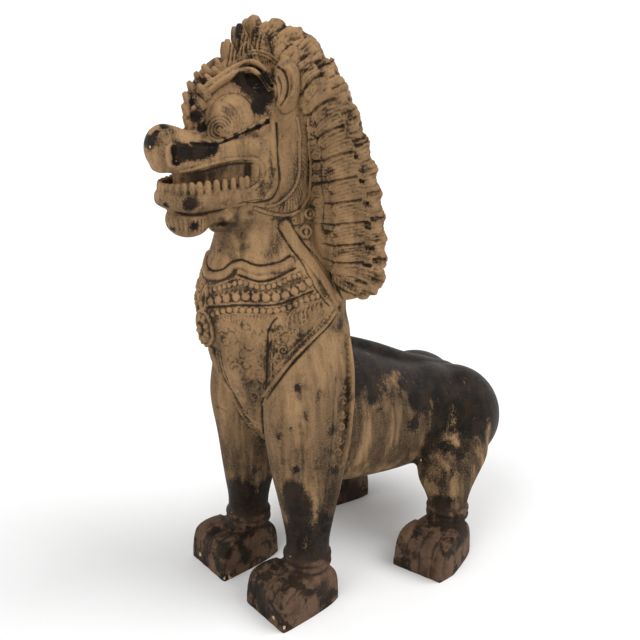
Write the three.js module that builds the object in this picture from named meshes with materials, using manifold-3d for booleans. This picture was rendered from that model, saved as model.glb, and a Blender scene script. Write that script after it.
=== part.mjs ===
// A guardian lion in cast earthenware, standing on four square paws with its head up.
// It is one hollow casting; here it is one closed solid with its true outside.
// Millimetres, +Z up. The lion faces -Y and its left side is +X.
// The origin is under the middle of the lion's bounding box, on the ground.

import * as THREE from 'three';
import { mergeVertices } from 'three/addons/utils/BufferGeometryUtils.js';
import Module from 'manifold-3d';

const wasm = await Module();
wasm.setup();

// Driving dimension: from the ground to the tallest lock of the mane.
const HEIGHT = 760;

// Every other size and place below is a share of HEIGHT, because this is a figure.
// Shares are measured from the ground up, from the middle plane out, and along Y from
// the line that the front toes touch, back being positive.

// Glaze
const GLAZE_COLOUR = 0x8a6b50;
const GLAZE_ROUGHNESS = 0.62;

// Sides of the curved forms
const BODY_SIDES = 14;
const HOOD_SIDES = 14;
const HEAD_SIDES = 10;
const LEG_SIDES = 10;
const BALL_SIDES = 8;
const SMALL_SIDES = 6;
const BEAD_SIDES = 5;
const RIDGE_SIDES = 4;

// How square a lengthwise form is: 2 is an ellipse, more is squarer
const TRUNK_POWER = 2.2;
const LIP_POWER = 2.5;
const JAW_POWER = 3;
const GAP_POWER = 4;
const PAW_POWER = 5;

// Helpers: shares to solids

const point = (x, y, z) => new THREE.Vector3(x, y, z).multiplyScalar(HEIGHT);

// A curve through rows of numbers: the row at place t, from 0 at the first to 1 at the last.
function rowAt(rows, t) {
  const place = t * (rows.length - 1);
  const start = Math.min(Math.floor(place), rows.length - 2);
  const s = place - start;
  const before = rows[Math.max(start - 1, 0)];
  const from = rows[start];
  const to = rows[start + 1];
  const after = rows[Math.min(start + 2, rows.length - 1)];
  return from.map((value, k) => {
    const slopeIn = (to[k] - before[k]) / 2;
    const slopeOut = (after[k] - value) / 2;
    return (2 * s ** 3 - 3 * s ** 2 + 1) * value + (s ** 3 - 2 * s ** 2 + s) * slopeIn
      + (3 * s ** 2 - 2 * s ** 3) * to[k] + (s ** 3 - s ** 2) * slopeOut;
  });
}

// Rings of points joined to one closed solid, with a fan over each end.
function solidFromRings(rings) {
  const sides = rings[0].length;
  const points = rings.flat();
  const faces = [];
  for (let row = 0; row < rings.length - 1; row += 1) {
    for (let i = 0; i < sides; i += 1) {
      const next = (i + 1) % sides;
      const a = row * sides + i;
      const b = row * sides + next;
      faces.push([a, b, b + sides], [a, b + sides, a + sides]);
    }
  }
  const middle = (ring) => ring.reduce((sum, p) => sum.add(p), new THREE.Vector3()).divideScalar(sides);
  const first = points.length;
  const last = first + 1;
  points.push(middle(rings[0]), middle(rings[rings.length - 1]));
  const top = (rings.length - 1) * sides;
  for (let i = 0; i < sides; i += 1) {
    const next = (i + 1) % sides;
    faces.push([first, next, i], [last, top + i, top + next]);
  }
  const volume = faces.reduce(
    (sum, [a, b, c]) => sum + points[a].dot(points[b].clone().cross(points[c])), 0);
  const outward = volume > 0 ? faces : faces.map(([a, b, c]) => [a, c, b]);
  return new wasm.Manifold(new wasm.Mesh({
    numProp: 3,
    vertProperties: new Float32Array(points.flatMap((p) => p.toArray())),
    triVerts: new Uint32Array(outward.flat()),
  }));
}

// A closed three.js geometry as a solid.
function solidFromGeometry(geometry) {
  const bare = geometry.clone();
  bare.deleteAttribute('normal');
  bare.deleteAttribute('uv');
  const merged = mergeVertices(bare);
  return new wasm.Manifold(new wasm.Mesh({
    numProp: 3,
    vertProperties: new Float32Array(merged.attributes.position.array),
    triVerts: new Uint32Array(merged.index.array),
  }));
}

// One oval ring point: power 2 is an ellipse, more is squarer.
function ovalPoint(angle, power) {
  const rounded = (value) => Math.sign(value) * Math.abs(value) ** (2 / power);
  return [rounded(Math.cos(angle)), rounded(Math.sin(angle))];
}

// A form stacked upright. Rows: height, centre x, centre y, half width, half depth.
// A keel draws the front in to an edge: 0 leaves an oval, 1 brings it to a point.
function upright(rows, sides, keel = 0) {
  return solidFromRings(rows.map(([z, x, y, across, deep]) => Array.from({ length: sides }, (_, i) => {
    const angle = 2 * Math.PI * i / sides;
    const drawn = 1 - keel * Math.max(0, Math.cos(angle));
    return point(x + across * Math.sin(angle) * drawn, y - deep * Math.cos(angle), z);
  })));
}

// A place on the outside of an upright form that stands on the middle plane. Angle 0 is
// the middle of the front and 90 degrees the lion's left side; lift is how far it stands off.
function placeOn(rows, keel, angle, height, lift) {
  const z = Math.min(Math.max(height, rows[0][0]), rows[rows.length - 1][0]);
  const upper = Math.max(rows.findIndex(([level]) => level >= z), 1);
  const s = (z - rows[upper - 1][0]) / (rows[upper][0] - rows[upper - 1][0]);
  const [, , y, across, deep] = rows[upper].map((value, k) => (1 - s) * rows[upper - 1][k] + s * value);
  const turn = THREE.MathUtils.degToRad(angle);
  const drawn = 1 - keel * Math.max(0, Math.cos(turn));
  return [(across + lift) * Math.sin(turn) * drawn, y - (deep + lift) * Math.cos(turn), height];
}

// A form stacked lengthwise. Rows: place along y, centre x, low edge, high edge, half width.
function lengthwise(rows, sides, power) {
  return solidFromRings(rows.map(([y, x, low, high, across]) => Array.from({ length: sides }, (_, i) => {
    const [u, v] = ovalPoint(2 * Math.PI * i / sides, power);
    return point(x + across * u, y, (low + high) / 2 + (high - low) / 2 * v);
  })));
}

// A ridge that follows a path. Rows: x, y, z, half width, half thickness.
// The width lies across the path and square to the outward direction.
function ridge(rows, outward, sides = RIDGE_SIDES) {
  const away = new THREE.Vector3(...outward);
  const spot = (i) => new THREE.Vector3(...rows[i].slice(0, 3));
  return solidFromRings(rows.map(([x, y, z, wide, thick], row) => {
    const along = spot(Math.min(row + 1, rows.length - 1)).sub(spot(Math.max(row - 1, 0)));
    const side = along.clone().cross(away).normalize();
    const out = side.clone().cross(along).normalize();
    return Array.from({ length: sides }, (_, i) => {
      const angle = 2 * Math.PI * i / sides;
      return point(x, y, z)
        .addScaledVector(side, wide * HEIGHT * Math.cos(angle))
        .addScaledVector(out, thick * HEIGHT * Math.sin(angle));
    });
  }));
}

// An egg: centre, half sizes, number of sides, and a turn about the vertical in degrees.
function egg(centre, half, sides = BALL_SIDES, turn = 0) {
  const geometry = new THREE.SphereGeometry(1, sides, Math.round((sides + 1) / 2));
  geometry.rotateX(Math.PI / 2);
  geometry.scale(...half.map((share) => share * HEIGHT));
  geometry.rotateZ(THREE.MathUtils.degToRad(turn));
  geometry.translate(...point(...centre).toArray());
  return solidFromGeometry(geometry);
}

const mirrored = (solid) => solid.mirror([1, 0, 0]);
const both = (solid) => [solid, mirrored(solid)];
const joined = (solids) => wasm.Manifold.union(solids);

// Trunk and legs

function trunk() {
  const rows = [
    [0.095, 0, 0.255, 0.430, 0.070],
    [0.150, 0, 0.195, 0.442, 0.102],
    [0.210, 0, 0.165, 0.445, 0.108],
    [0.275, 0, 0.152, 0.420, 0.108],
    [0.340, 0, 0.144, 0.388, 0.109],
    [0.400, 0, 0.145, 0.362, 0.114],
    [0.460, 0, 0.155, 0.345, 0.128],
    [0.520, 0, 0.160, 0.322, 0.134],
    [0.565, 0, 0.178, 0.296, 0.112],
    [0.590, 0, 0.205, 0.265, 0.070],
  ];
  return lengthwise(rows, BODY_SIDES, TRUNK_POWER);
}

// The tail is laid forward along the spine
function tail() {
  const rows = [
    [0, 0.250, 0.432, 0.010, 0.012],
    [0, 0.330, 0.394, 0.018, 0.016],
    [0, 0.410, 0.356, 0.020, 0.015],
    [0, 0.490, 0.324, 0.024, 0.014],
    [0, 0.556, 0.288, 0.026, 0.016],
    [0, 0.588, 0.220, 0.020, 0.014],
  ];
  return ridge(rows, [0, 0.5, 1], SMALL_SIDES);
}

function foreleg() {
  const rows = [
    [0.030, 0.092, 0.092, 0.034, 0.036],
    [0.090, 0.093, 0.094, 0.038, 0.039],
    [0.125, 0.0925, 0.096, 0.038, 0.040],
    [0.170, 0.091, 0.099, 0.042, 0.050],
    [0.220, 0.087, 0.104, 0.046, 0.064],
    [0.280, 0.081, 0.109, 0.048, 0.080],
    [0.360, 0.083, 0.102, 0.050, 0.083],
    [0.440, 0.076, 0.111, 0.053, 0.083],
    [0.500, 0.064, 0.114, 0.052, 0.088],
    [0.550, 0.046, 0.108, 0.048, 0.088],
  ];
  return upright(rows, LEG_SIDES);
}

// The ornament that runs down the back edge of the foreleg
function forelegFlame() {
  const rows = [
    [0.116, 0.176, 0.490, 0.008, 0.007],
    [0.122, 0.180, 0.420, 0.013, 0.009],
    [0.124, 0.174, 0.330, 0.014, 0.009],
    [0.116, 0.164, 0.250, 0.013, 0.009],
    [0.110, 0.142, 0.180, 0.011, 0.008],
    [0.108, 0.124, 0.110, 0.008, 0.007],
  ];
  return ridge(rows, [0.6, 0.8, 0]);
}

function hindLeg() {
  const rows = [
    [0.030, 0.145, 0.402, 0.034, 0.036],
    [0.095, 0.142, 0.405, 0.037, 0.038],
    [0.124, 0.134, 0.412, 0.043, 0.049],
    [0.150, 0.124, 0.424, 0.052, 0.068],
    [0.180, 0.112, 0.448, 0.058, 0.080],
    [0.230, 0.092, 0.474, 0.052, 0.070],
  ];
  return upright(rows, LEG_SIDES);
}

function haunch() {
  return egg([0.052, 0.502, 0.229], [0.100, 0.100, 0.103], BODY_SIDES);
}

// A raised bracelet round the ankle
function anklet(x, y, radius) {
  const inner = radius - 0.007;
  const rows = [
    [0.070, x, y, inner, inner],
    [0.078, x, y, radius, radius],
    [0.090, x, y, radius, radius],
    [0.098, x, y, inner, inner],
  ];
  return upright(rows, LEG_SIDES);
}

// A square paw: a block with four toes in front, turned outward about its heel.
function paw(x, y, turn) {
  const block = lengthwise([
    [0.004, 0, -0.042, 0.042, 0.048],
    [0.022, 0, -0.060, 0.060, 0.053],
    [0.070, 0, -0.070, 0.070, 0.051],
    [0.110, 0, -0.069, 0.069, 0.045],
    [0.137, 0, -0.050, 0.050, 0.036],
  ], BALL_SIDES, PAW_POWER);
  const spacing = 0.0265;
  const toes = [-1.5, -0.5, 0.5, 1.5].map((place) =>
    egg([place * spacing, 0.038, 0.024], [0.0145, 0.042, 0.041], SMALL_SIDES));
  const whole = joined([block, ...toes]);
  return whole.rotate([0, 0, turn]).translate(point(x, y, 0).toArray());
}

// Chest and neck

// Rows: height, centre x, centre y, half width, half depth.
const CHEST = [
  [0.285, 0, 0.103, 0.035, 0.035],
  [0.320, 0, 0.103, 0.055, 0.058],
  [0.360, 0, 0.102, 0.072, 0.080],
  [0.404, 0, 0.101, 0.088, 0.100],
  [0.440, 0, 0.098, 0.100, 0.114],
  [0.480, 0, 0.097, 0.108, 0.122],
  [0.530, 0, 0.093, 0.118, 0.132],
  [0.560, 0, 0.091, 0.116, 0.131],
  [0.600, 0, 0.088, 0.102, 0.118],
  [0.640, 0, 0.085, 0.088, 0.098],
  [0.680, 0, 0.085, 0.080, 0.086],
  [0.760, 0, 0.090, 0.076, 0.080],
];
const CHEST_KEEL = 0.12;

function chestAndNeck() {
  return upright(CHEST, BODY_SIDES, CHEST_KEEL);
}

const onChest = (angle, z, lift) => placeOn(CHEST, CHEST_KEEL, angle, z, lift);

// Beads hang in a row from shoulder to shoulder, lowest in the middle of the chest.
function beadRow() {
  const count = 13;
  const low = 0.548;
  const rise = 0.022;
  const reach = 66;
  const radius = 0.0078;
  return Array.from({ length: count }, (_, i) => {
    const s = 2 * i / (count - 1) - 1;
    return egg(onChest(s * reach, low + rise * s * s, 0), [radius, radius, radius], BEAD_SIDES);
  });
}

function medallion() {
  const disc = egg([0, -0.036, 0.528], [0.020, 0.009, 0.021], BALL_SIDES);
  const stud = egg([0, -0.044, 0.528], [0.007, 0.005, 0.007], BEAD_SIDES);
  return [disc, stud];
}

// A twisted band runs down the middle of the chest from the medallion
function chestBand() {
  return ridge([
    [0, -0.026, 0.510, 0.007, 0.006],
    [0, -0.017, 0.450, 0.007, 0.006],
    [0, 0.002, 0.404, 0.007, 0.006],
    [0, 0.023, 0.360, 0.006, 0.006],
    [0, 0.072, 0.280, 0.004, 0.005],
  ], [0, -1, -0.4]);
}

// The scrolled edge of the breast panel, from the shoulder down to the foot of the band
function panelEdge() {
  return ridge([
    [0.112, 0.110, 0.545, 0.008, 0.008],
    [0.108, 0.055, 0.490, 0.008, 0.009],
    [0.088, 0.026, 0.430, 0.008, 0.009],
    [0.060, 0.026, 0.370, 0.007, 0.009],
    [0.030, 0.045, 0.320, 0.006, 0.008],
    [0.006, 0.072, 0.280, 0.004, 0.006],
  ], [0.6, -0.8, 0]);
}

// A strap runs from under the jaw back to the shoulder
function strap() {
  return ridge([
    [0.078, 0.046, 0.690, 0.009, 0.008],
    [0.092, 0.070, 0.650, 0.010, 0.008],
    [0.106, 0.105, 0.600, 0.010, 0.008],
    [0.114, 0.145, 0.548, 0.009, 0.008],
  ], [1, -0.5, 0]);
}

function belly() {
  return egg([0, 0.388, 0.148], [0.020, 0.034, 0.020]);
}

// Head

const SKULL = [
  [0.675, 0, 0.050, 0.056, 0.068],
  [0.710, 0, 0.050, 0.071, 0.093],
  [0.765, 0, 0.050, 0.078, 0.102],
  [0.820, 0, 0.052, 0.075, 0.104],
  [0.865, 0, 0.056, 0.068, 0.106],
  [0.895, 0, 0.066, 0.061, 0.100],
  [0.920, 0, 0.082, 0.052, 0.086],
  [0.950, 0, 0.096, 0.036, 0.050],
];
const SKULL_KEEL = 0.6;

function skull() {
  return upright(SKULL, HEAD_SIDES, SKULL_KEEL);
}

function upperJaw() {
  const rows = [
    [-0.092, 0, 0.776, 0.792, 0.012],
    [-0.078, 0, 0.768, 0.812, 0.023],
    [-0.060, 0, 0.768, 0.824, 0.036],
    [-0.030, 0, 0.774, 0.832, 0.052],
    [0.010, 0, 0.782, 0.838, 0.070],
    [0.045, 0, 0.786, 0.842, 0.078],
  ];
  return lengthwise(rows, BALL_SIDES, LIP_POWER);
}

function lowerJaw() {
  const rows = [
    [-0.109, 0, 0.730, 0.748, 0.014],
    [-0.101, 0, 0.724, 0.751, 0.026],
    [-0.086, 0, 0.719, 0.753, 0.038],
    [-0.056, 0, 0.718, 0.755, 0.050],
    [-0.016, 0, 0.718, 0.758, 0.063],
    [0.052, 0, 0.724, 0.766, 0.079],
  ];
  return lengthwise(rows, BALL_SIDES, JAW_POWER);
}

function chin() {
  const roll = egg([0, -0.060, 0.702], [0.034, 0.036, 0.028]);
  const throat = egg([0, -0.005, 0.706], [0.046, 0.060, 0.038]);
  return joined([roll, throat]);
}

// The gap between the jaws, open in front and at both sides
function mouthGap() {
  const rows = [
    [-0.140, 0, 0.755, 0.771, 0.140],
    [-0.080, 0, 0.755, 0.776, 0.140],
    [-0.020, 0, 0.754, 0.792, 0.140],
    [0.008, 0, 0.756, 0.794, 0.140],
    [0.018, 0, 0.766, 0.784, 0.140],
  ];
  return lengthwise(rows, BALL_SIDES, GAP_POWER);
}

// What fills the inside of the mouth behind the teeth
function palate() {
  const keel = 0.4;
  return upright([[0.740, 0, 0, 0.050, 0.082], [0.810, 0, 0, 0.052, 0.080]], BALL_SIDES, keel);
}

// Teeth stand along the lower jaw, just inside its lip.
function teeth() {
  const row = [
    [0.006, -0.099, 0.750], [0.026, -0.088, 0.751], [0.041, -0.060, 0.753],
    [0.053, -0.024, 0.755], [0.062, 0.010, 0.757],
  ];
  const count = 7;
  const foot = 0.0065;
  const root = 0.004;
  const height = 0.012;
  return Array.from({ length: count }, (_, i) => {
    const [x, y, z] = rowAt(row, i / (count - 1));
    return upright([[z - root, x, y, foot, foot], [z + height, x, y, foot / 2, foot / 2]], RIDGE_SIDES);
  });
}

function nose() {
  const bulb = egg([0, -0.097, 0.815], [0.031, 0.030, 0.035]);
  const wing = egg([0.022, -0.084, 0.802], [0.018, 0.022, 0.024], SMALL_SIDES);
  const bridge = lengthwise([
    [-0.085, 0, 0.780, 0.838, 0.022],
    [-0.055, 0, 0.790, 0.830, 0.028],
    [-0.020, 0, 0.800, 0.850, 0.034],
  ], BALL_SIDES, LIP_POWER);
  return [bulb, ...both(wing), bridge];
}

function eye() {
  return egg([0.030, -0.001, 0.848], [0.030, 0.030, 0.031]);
}

// A ridge arches over each eye from the bridge of the nose to the ear
function brow() {
  return ridge([
    [0.006, -0.044, 0.868, 0.009, 0.009],
    [0.026, -0.008, 0.904, 0.011, 0.011],
    [0.040, 0.028, 0.921, 0.011, 0.011],
    [0.052, 0.044, 0.914, 0.011, 0.011],
    [0.062, 0.056, 0.892, 0.009, 0.009],
  ], [0.6, -0.7, 0.4]);
}

// The fold that runs from the nose under the eye and up to the ear
function cheekFold() {
  const rows = [
    [0.014, -0.052, 0.816, 0.006, 0.008],
    [0.037, -0.028, 0.815, 0.006, 0.008],
    [0.059, 0.006, 0.829, 0.006, 0.008],
    [0.071, 0.046, 0.850, 0.005, 0.006],
  ];
  return ridge(rows, [0.9, -0.4, 0]);
}

function ear() {
  const turn = 25;
  const shell = egg([0.068, 0.080, 0.898], [0.020, 0.018, 0.038], BALL_SIDES, turn);
  const hollow = egg([0.082, 0.066, 0.903], [0.012, 0.014, 0.026], SMALL_SIDES, turn);
  return shell.subtract(hollow);
}

// A raised band runs down behind the cheek and under the jaw
function cheekBand() {
  const rows = [
    [0.086, 0.080, 0.850, 0.008, 0.011],
    [0.088, 0.088, 0.790, 0.009, 0.011],
    [0.086, 0.082, 0.735, 0.009, 0.011],
    [0.076, 0.048, 0.708, 0.009, 0.010],
    [0.060, 0.010, 0.704, 0.007, 0.008],
  ];
  return ridge(rows, [1, -0.5, -0.2]);
}

function foreheadCurls() {
  const rows = [[0, -0.044, 0.848], [0, -0.046, 0.868], [0, -0.038, 0.888], [0, -0.022, 0.904]];
  return rows.map((centre) => egg(centre, [0.014, 0.012, 0.014], BEAD_SIDES));
}

// Mane

// The hood carries the locks. Rows as for the chest.
const HOOD = [
  [0.556, 0, 0.178, 0.126, 0.066],
  [0.600, 0, 0.194, 0.148, 0.068],
  [0.650, 0, 0.188, 0.153, 0.066],
  [0.710, 0, 0.178, 0.156, 0.062],
  [0.780, 0, 0.160, 0.156, 0.060],
  [0.845, 0, 0.138, 0.150, 0.057],
  [0.900, 0, 0.125, 0.130, 0.052],
  [0.940, 0, 0.115, 0.103, 0.044],
  [0.970, 0, 0.104, 0.068, 0.032],
  [0.986, 0, 0.096, 0.036, 0.018],
];

function hood() {
  return upright(HOOD, HOOD_SIDES);
}

// A place on the front of the hood, at x out and z up
function onHood(x, z, lift) {
  const [across] = placeOn(HOOD, 0, 90, z, 0);
  const angle = THREE.MathUtils.radToDeg(Math.asin(Math.min(1, x / across)));
  return placeOn(HOOD, 0, angle, z, lift);
}

// The locks fan out from behind the face, each ending in a point past the rim.
const LOCKS_A_SIDE = 13;
const LOCK_TIPS = [
  [0.000, 0.996], [0.067, 0.977], [0.121, 0.932], [0.154, 0.870], [0.170, 0.795],
  [0.173, 0.725], [0.171, 0.660], [0.164, 0.602], [0.144, 0.564],
];
const LOCK_ROOTS = [
  [0.000, 0.930], [0.030, 0.935], [0.064, 0.922], [0.088, 0.880], [0.094, 0.820],
  [0.096, 0.760], [0.096, 0.700], [0.096, 0.640], [0.090, 0.600],
];

function lock(place) {
  const [tipX, tipZ] = rowAt(LOCK_TIPS, place);
  const [rootX, rootZ] = rowAt(LOCK_ROOTS, place);
  const [, rimY] = placeOn(HOOD, 0, 90, tipZ, 0);
  const swell = 0.78;
  const lift = 0.006;
  const swellX = rootX + swell * (tipX - rootX);
  const swellZ = rootZ + swell * (tipZ - rootZ);
  return ridge([
    [...onHood(rootX, rootZ, 0), 0.012, 0.007],
    [...onHood(swellX, swellZ, lift), 0.022, 0.016],
    [tipX, rimY - lift, tipZ, 0.004, 0.006],
  ], [4 * swellX, -1, 0]);
}

function mane() {
  const locks = [lock(0)];
  for (let i = 1; i < LOCKS_A_SIDE; i += 1) {
    locks.push(...both(lock(i / (LOCKS_A_SIDE - 1))));
  }
  return [hood(), ...locks];
}

// The whole lion

function head() {
  const jaws = joined([skull(), upperJaw(), lowerJaw(), chin()]).subtract(mouthGap());
  const features = [eye(), brow(), cheekFold(), ear(), cheekBand(), ...teeth()];
  return joined([jaws, palate(), ...nose(), ...foreheadCurls(), ...features.flatMap(both)]);
}

function lion() {
  const limbs = [foreleg(), forelegFlame(), hindLeg(), haunch(),
    anklet(0.094, 0.094, 0.044), anklet(0.142, 0.405, 0.042),
    paw(0.0925, 0.000, 0), paw(0.1745, 0.298, 15)];
  const ornament = [...beadRow(), ...medallion(), chestBand(), ...both(panelEdge()), ...both(strap())];
  const whole = joined([trunk(), tail(), chestAndNeck(), belly(), head(),
    ...limbs.flatMap(both), ...mane(), ...ornament]);
  const ground = solidFromGeometry(
    new THREE.BoxGeometry(2 * HEIGHT, 2 * HEIGHT, HEIGHT).translate(0, 0, -HEIGHT / 2));
  return whole.subtract(ground);
}

// The figure as a three.js mesh, moved so that the origin is under the middle of its box
function lionMesh() {
  const { vertProperties, triVerts } = lion().getMesh();
  const geometry = new THREE.BufferGeometry();
  geometry.setAttribute('position', new THREE.BufferAttribute(new Float32Array(vertProperties), 3));
  geometry.setIndex(new THREE.BufferAttribute(new Uint32Array(triVerts), 1));
  geometry.computeBoundingBox();
  const middle = geometry.boundingBox.getCenter(new THREE.Vector3());
  geometry.translate(-middle.x, -middle.y, -geometry.boundingBox.min.z);
  geometry.computeVertexNormals();
  const material = new THREE.MeshStandardMaterial({
    color: GLAZE_COLOUR, roughness: GLAZE_ROUGHNESS, metalness: 0,
  });
  const mesh = new THREE.Mesh(geometry, material);
  mesh.name = 'guardian_lion';
  return mesh;
}

const group = new THREE.Group();
group.add(lionMesh());

export default group;
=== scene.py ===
# Looks of a guardian lion in cast earthenware: its carving, worn glaze, floor, light and camera.
# Lengths are metres in the shared frame. Rows and points of the figure are shares of its height,
# measured from the ground up, from the middle plane out, and along Y from the front toes.

import math

import bpy
import numpy as np
from mathutils import Matrix, Vector
from mathutils.bvhtree import BVHTree
from mathutils.kdtree import KDTree


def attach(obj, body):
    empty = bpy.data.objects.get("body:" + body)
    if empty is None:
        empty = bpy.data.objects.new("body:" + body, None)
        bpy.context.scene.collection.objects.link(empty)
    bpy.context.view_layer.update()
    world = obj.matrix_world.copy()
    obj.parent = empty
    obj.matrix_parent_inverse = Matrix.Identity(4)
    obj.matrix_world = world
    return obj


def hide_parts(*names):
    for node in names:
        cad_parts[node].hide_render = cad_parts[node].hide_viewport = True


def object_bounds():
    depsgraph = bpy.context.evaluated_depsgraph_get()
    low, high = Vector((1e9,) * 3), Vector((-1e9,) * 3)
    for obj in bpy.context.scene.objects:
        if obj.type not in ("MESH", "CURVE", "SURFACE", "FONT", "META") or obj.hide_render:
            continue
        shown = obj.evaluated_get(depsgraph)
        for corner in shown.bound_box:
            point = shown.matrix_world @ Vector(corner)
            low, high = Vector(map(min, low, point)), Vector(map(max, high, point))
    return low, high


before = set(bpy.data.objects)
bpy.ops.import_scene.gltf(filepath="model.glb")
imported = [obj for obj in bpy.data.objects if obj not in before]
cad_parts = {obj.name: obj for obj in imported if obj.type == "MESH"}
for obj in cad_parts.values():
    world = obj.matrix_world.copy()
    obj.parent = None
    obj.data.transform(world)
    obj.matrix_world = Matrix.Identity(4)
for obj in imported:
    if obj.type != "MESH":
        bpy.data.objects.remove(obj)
CAD_LOW, CAD_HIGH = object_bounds()

# Driving sizes: the height in metres, and the nose tip as a share of it
HEIGHT = 0.76
NOSE_TIP = -0.127
SHIFT = np.array([0.0, CAD_LOW.y - NOSE_TIP * HEIGHT, 0.0])

# Camera, worked out from the photograph, which is 640 pixels square
PHOTO_SIZE = 640
PHOTO_FOCUS = 850.0
CAMERA_PLACE = np.array([1.117, -0.7075, 0.979]) * HEIGHT + SHIFT
CAMERA_ROUND = math.radians(50.954)
CAMERA_DOWN = math.radians(19.034)
SENSOR = 36.0

# Fineness of each piece: voxel in metres, and the most triangles it keeps
BODY_VOXEL = 0.0017
HEAD_VOXEL = 0.0012
MANE_VOXEL = 0.0015
# Skins of the big forms are coarser, so that they run together as in modelled clay
CORE_VOXEL = 0.0042
HEAD_CORE_VOXEL = 0.0024
CORE_SMOOTHING = 10
HEAD_CORE_SMOOTHING = 5
MOST_TRIANGLES = 190000

random = np.random.default_rng(7)


# Camera vectors and photograph pixels

def camera_axes():
    a, p = CAMERA_ROUND, CAMERA_DOWN
    ahead = np.array([-math.sin(a) * math.cos(p), math.cos(a) * math.cos(p), -math.sin(p)])
    right = np.array([math.cos(a), math.sin(a), 0.0])
    up = np.array([-math.sin(a) * math.sin(p), math.cos(a) * math.sin(p), math.cos(p)])
    return right, up, ahead


RIGHT, UP, AHEAD = camera_axes()


def pixel_ray(px, py):
    half = PHOTO_SIZE / 2
    ray = AHEAD + RIGHT * (px - half) / PHOTO_FOCUS + UP * (half - py) / PHOTO_FOCUS
    return ray / np.linalg.norm(ray)


# Rows to closed meshes

def metres(points):
    return np.asarray(points, float) * HEIGHT + SHIFT


def smooth_rows(rows, fine):
    """Rows of numbers with a curve run through them, fine steps between each two."""
    rows = np.asarray(rows, float)
    last = len(rows) - 1
    out = []
    for i in range(last):
        before, start, end, after = rows[max(i - 1, 0)], rows[i], rows[i + 1], rows[min(i + 2, last)]
        slope_in, slope_out = (end - before) / 2, (after - start) / 2
        for k in range(fine):
            s = k / fine
            out.append((2 * s**3 - 3 * s**2 + 1) * start + (s**3 - 2 * s**2 + s) * slope_in
                       + (3 * s**2 - 2 * s**3) * end + (s**3 - s**2) * slope_out)
    out.append(rows[-1])
    return np.array(out)


def on_curve(curve, t):
    """The row at place t of a fine curve, from 0 at its start to 1 at its end."""
    place = t * (len(curve) - 1)
    low = min(int(place), len(curve) - 2)
    return curve[low] + (curve[low + 1] - curve[low]) * (place - low)


def row_at(rows, t):
    """The same for a curve run through a few rows."""
    return on_curve(smooth_rows(rows, 16), t)


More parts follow.
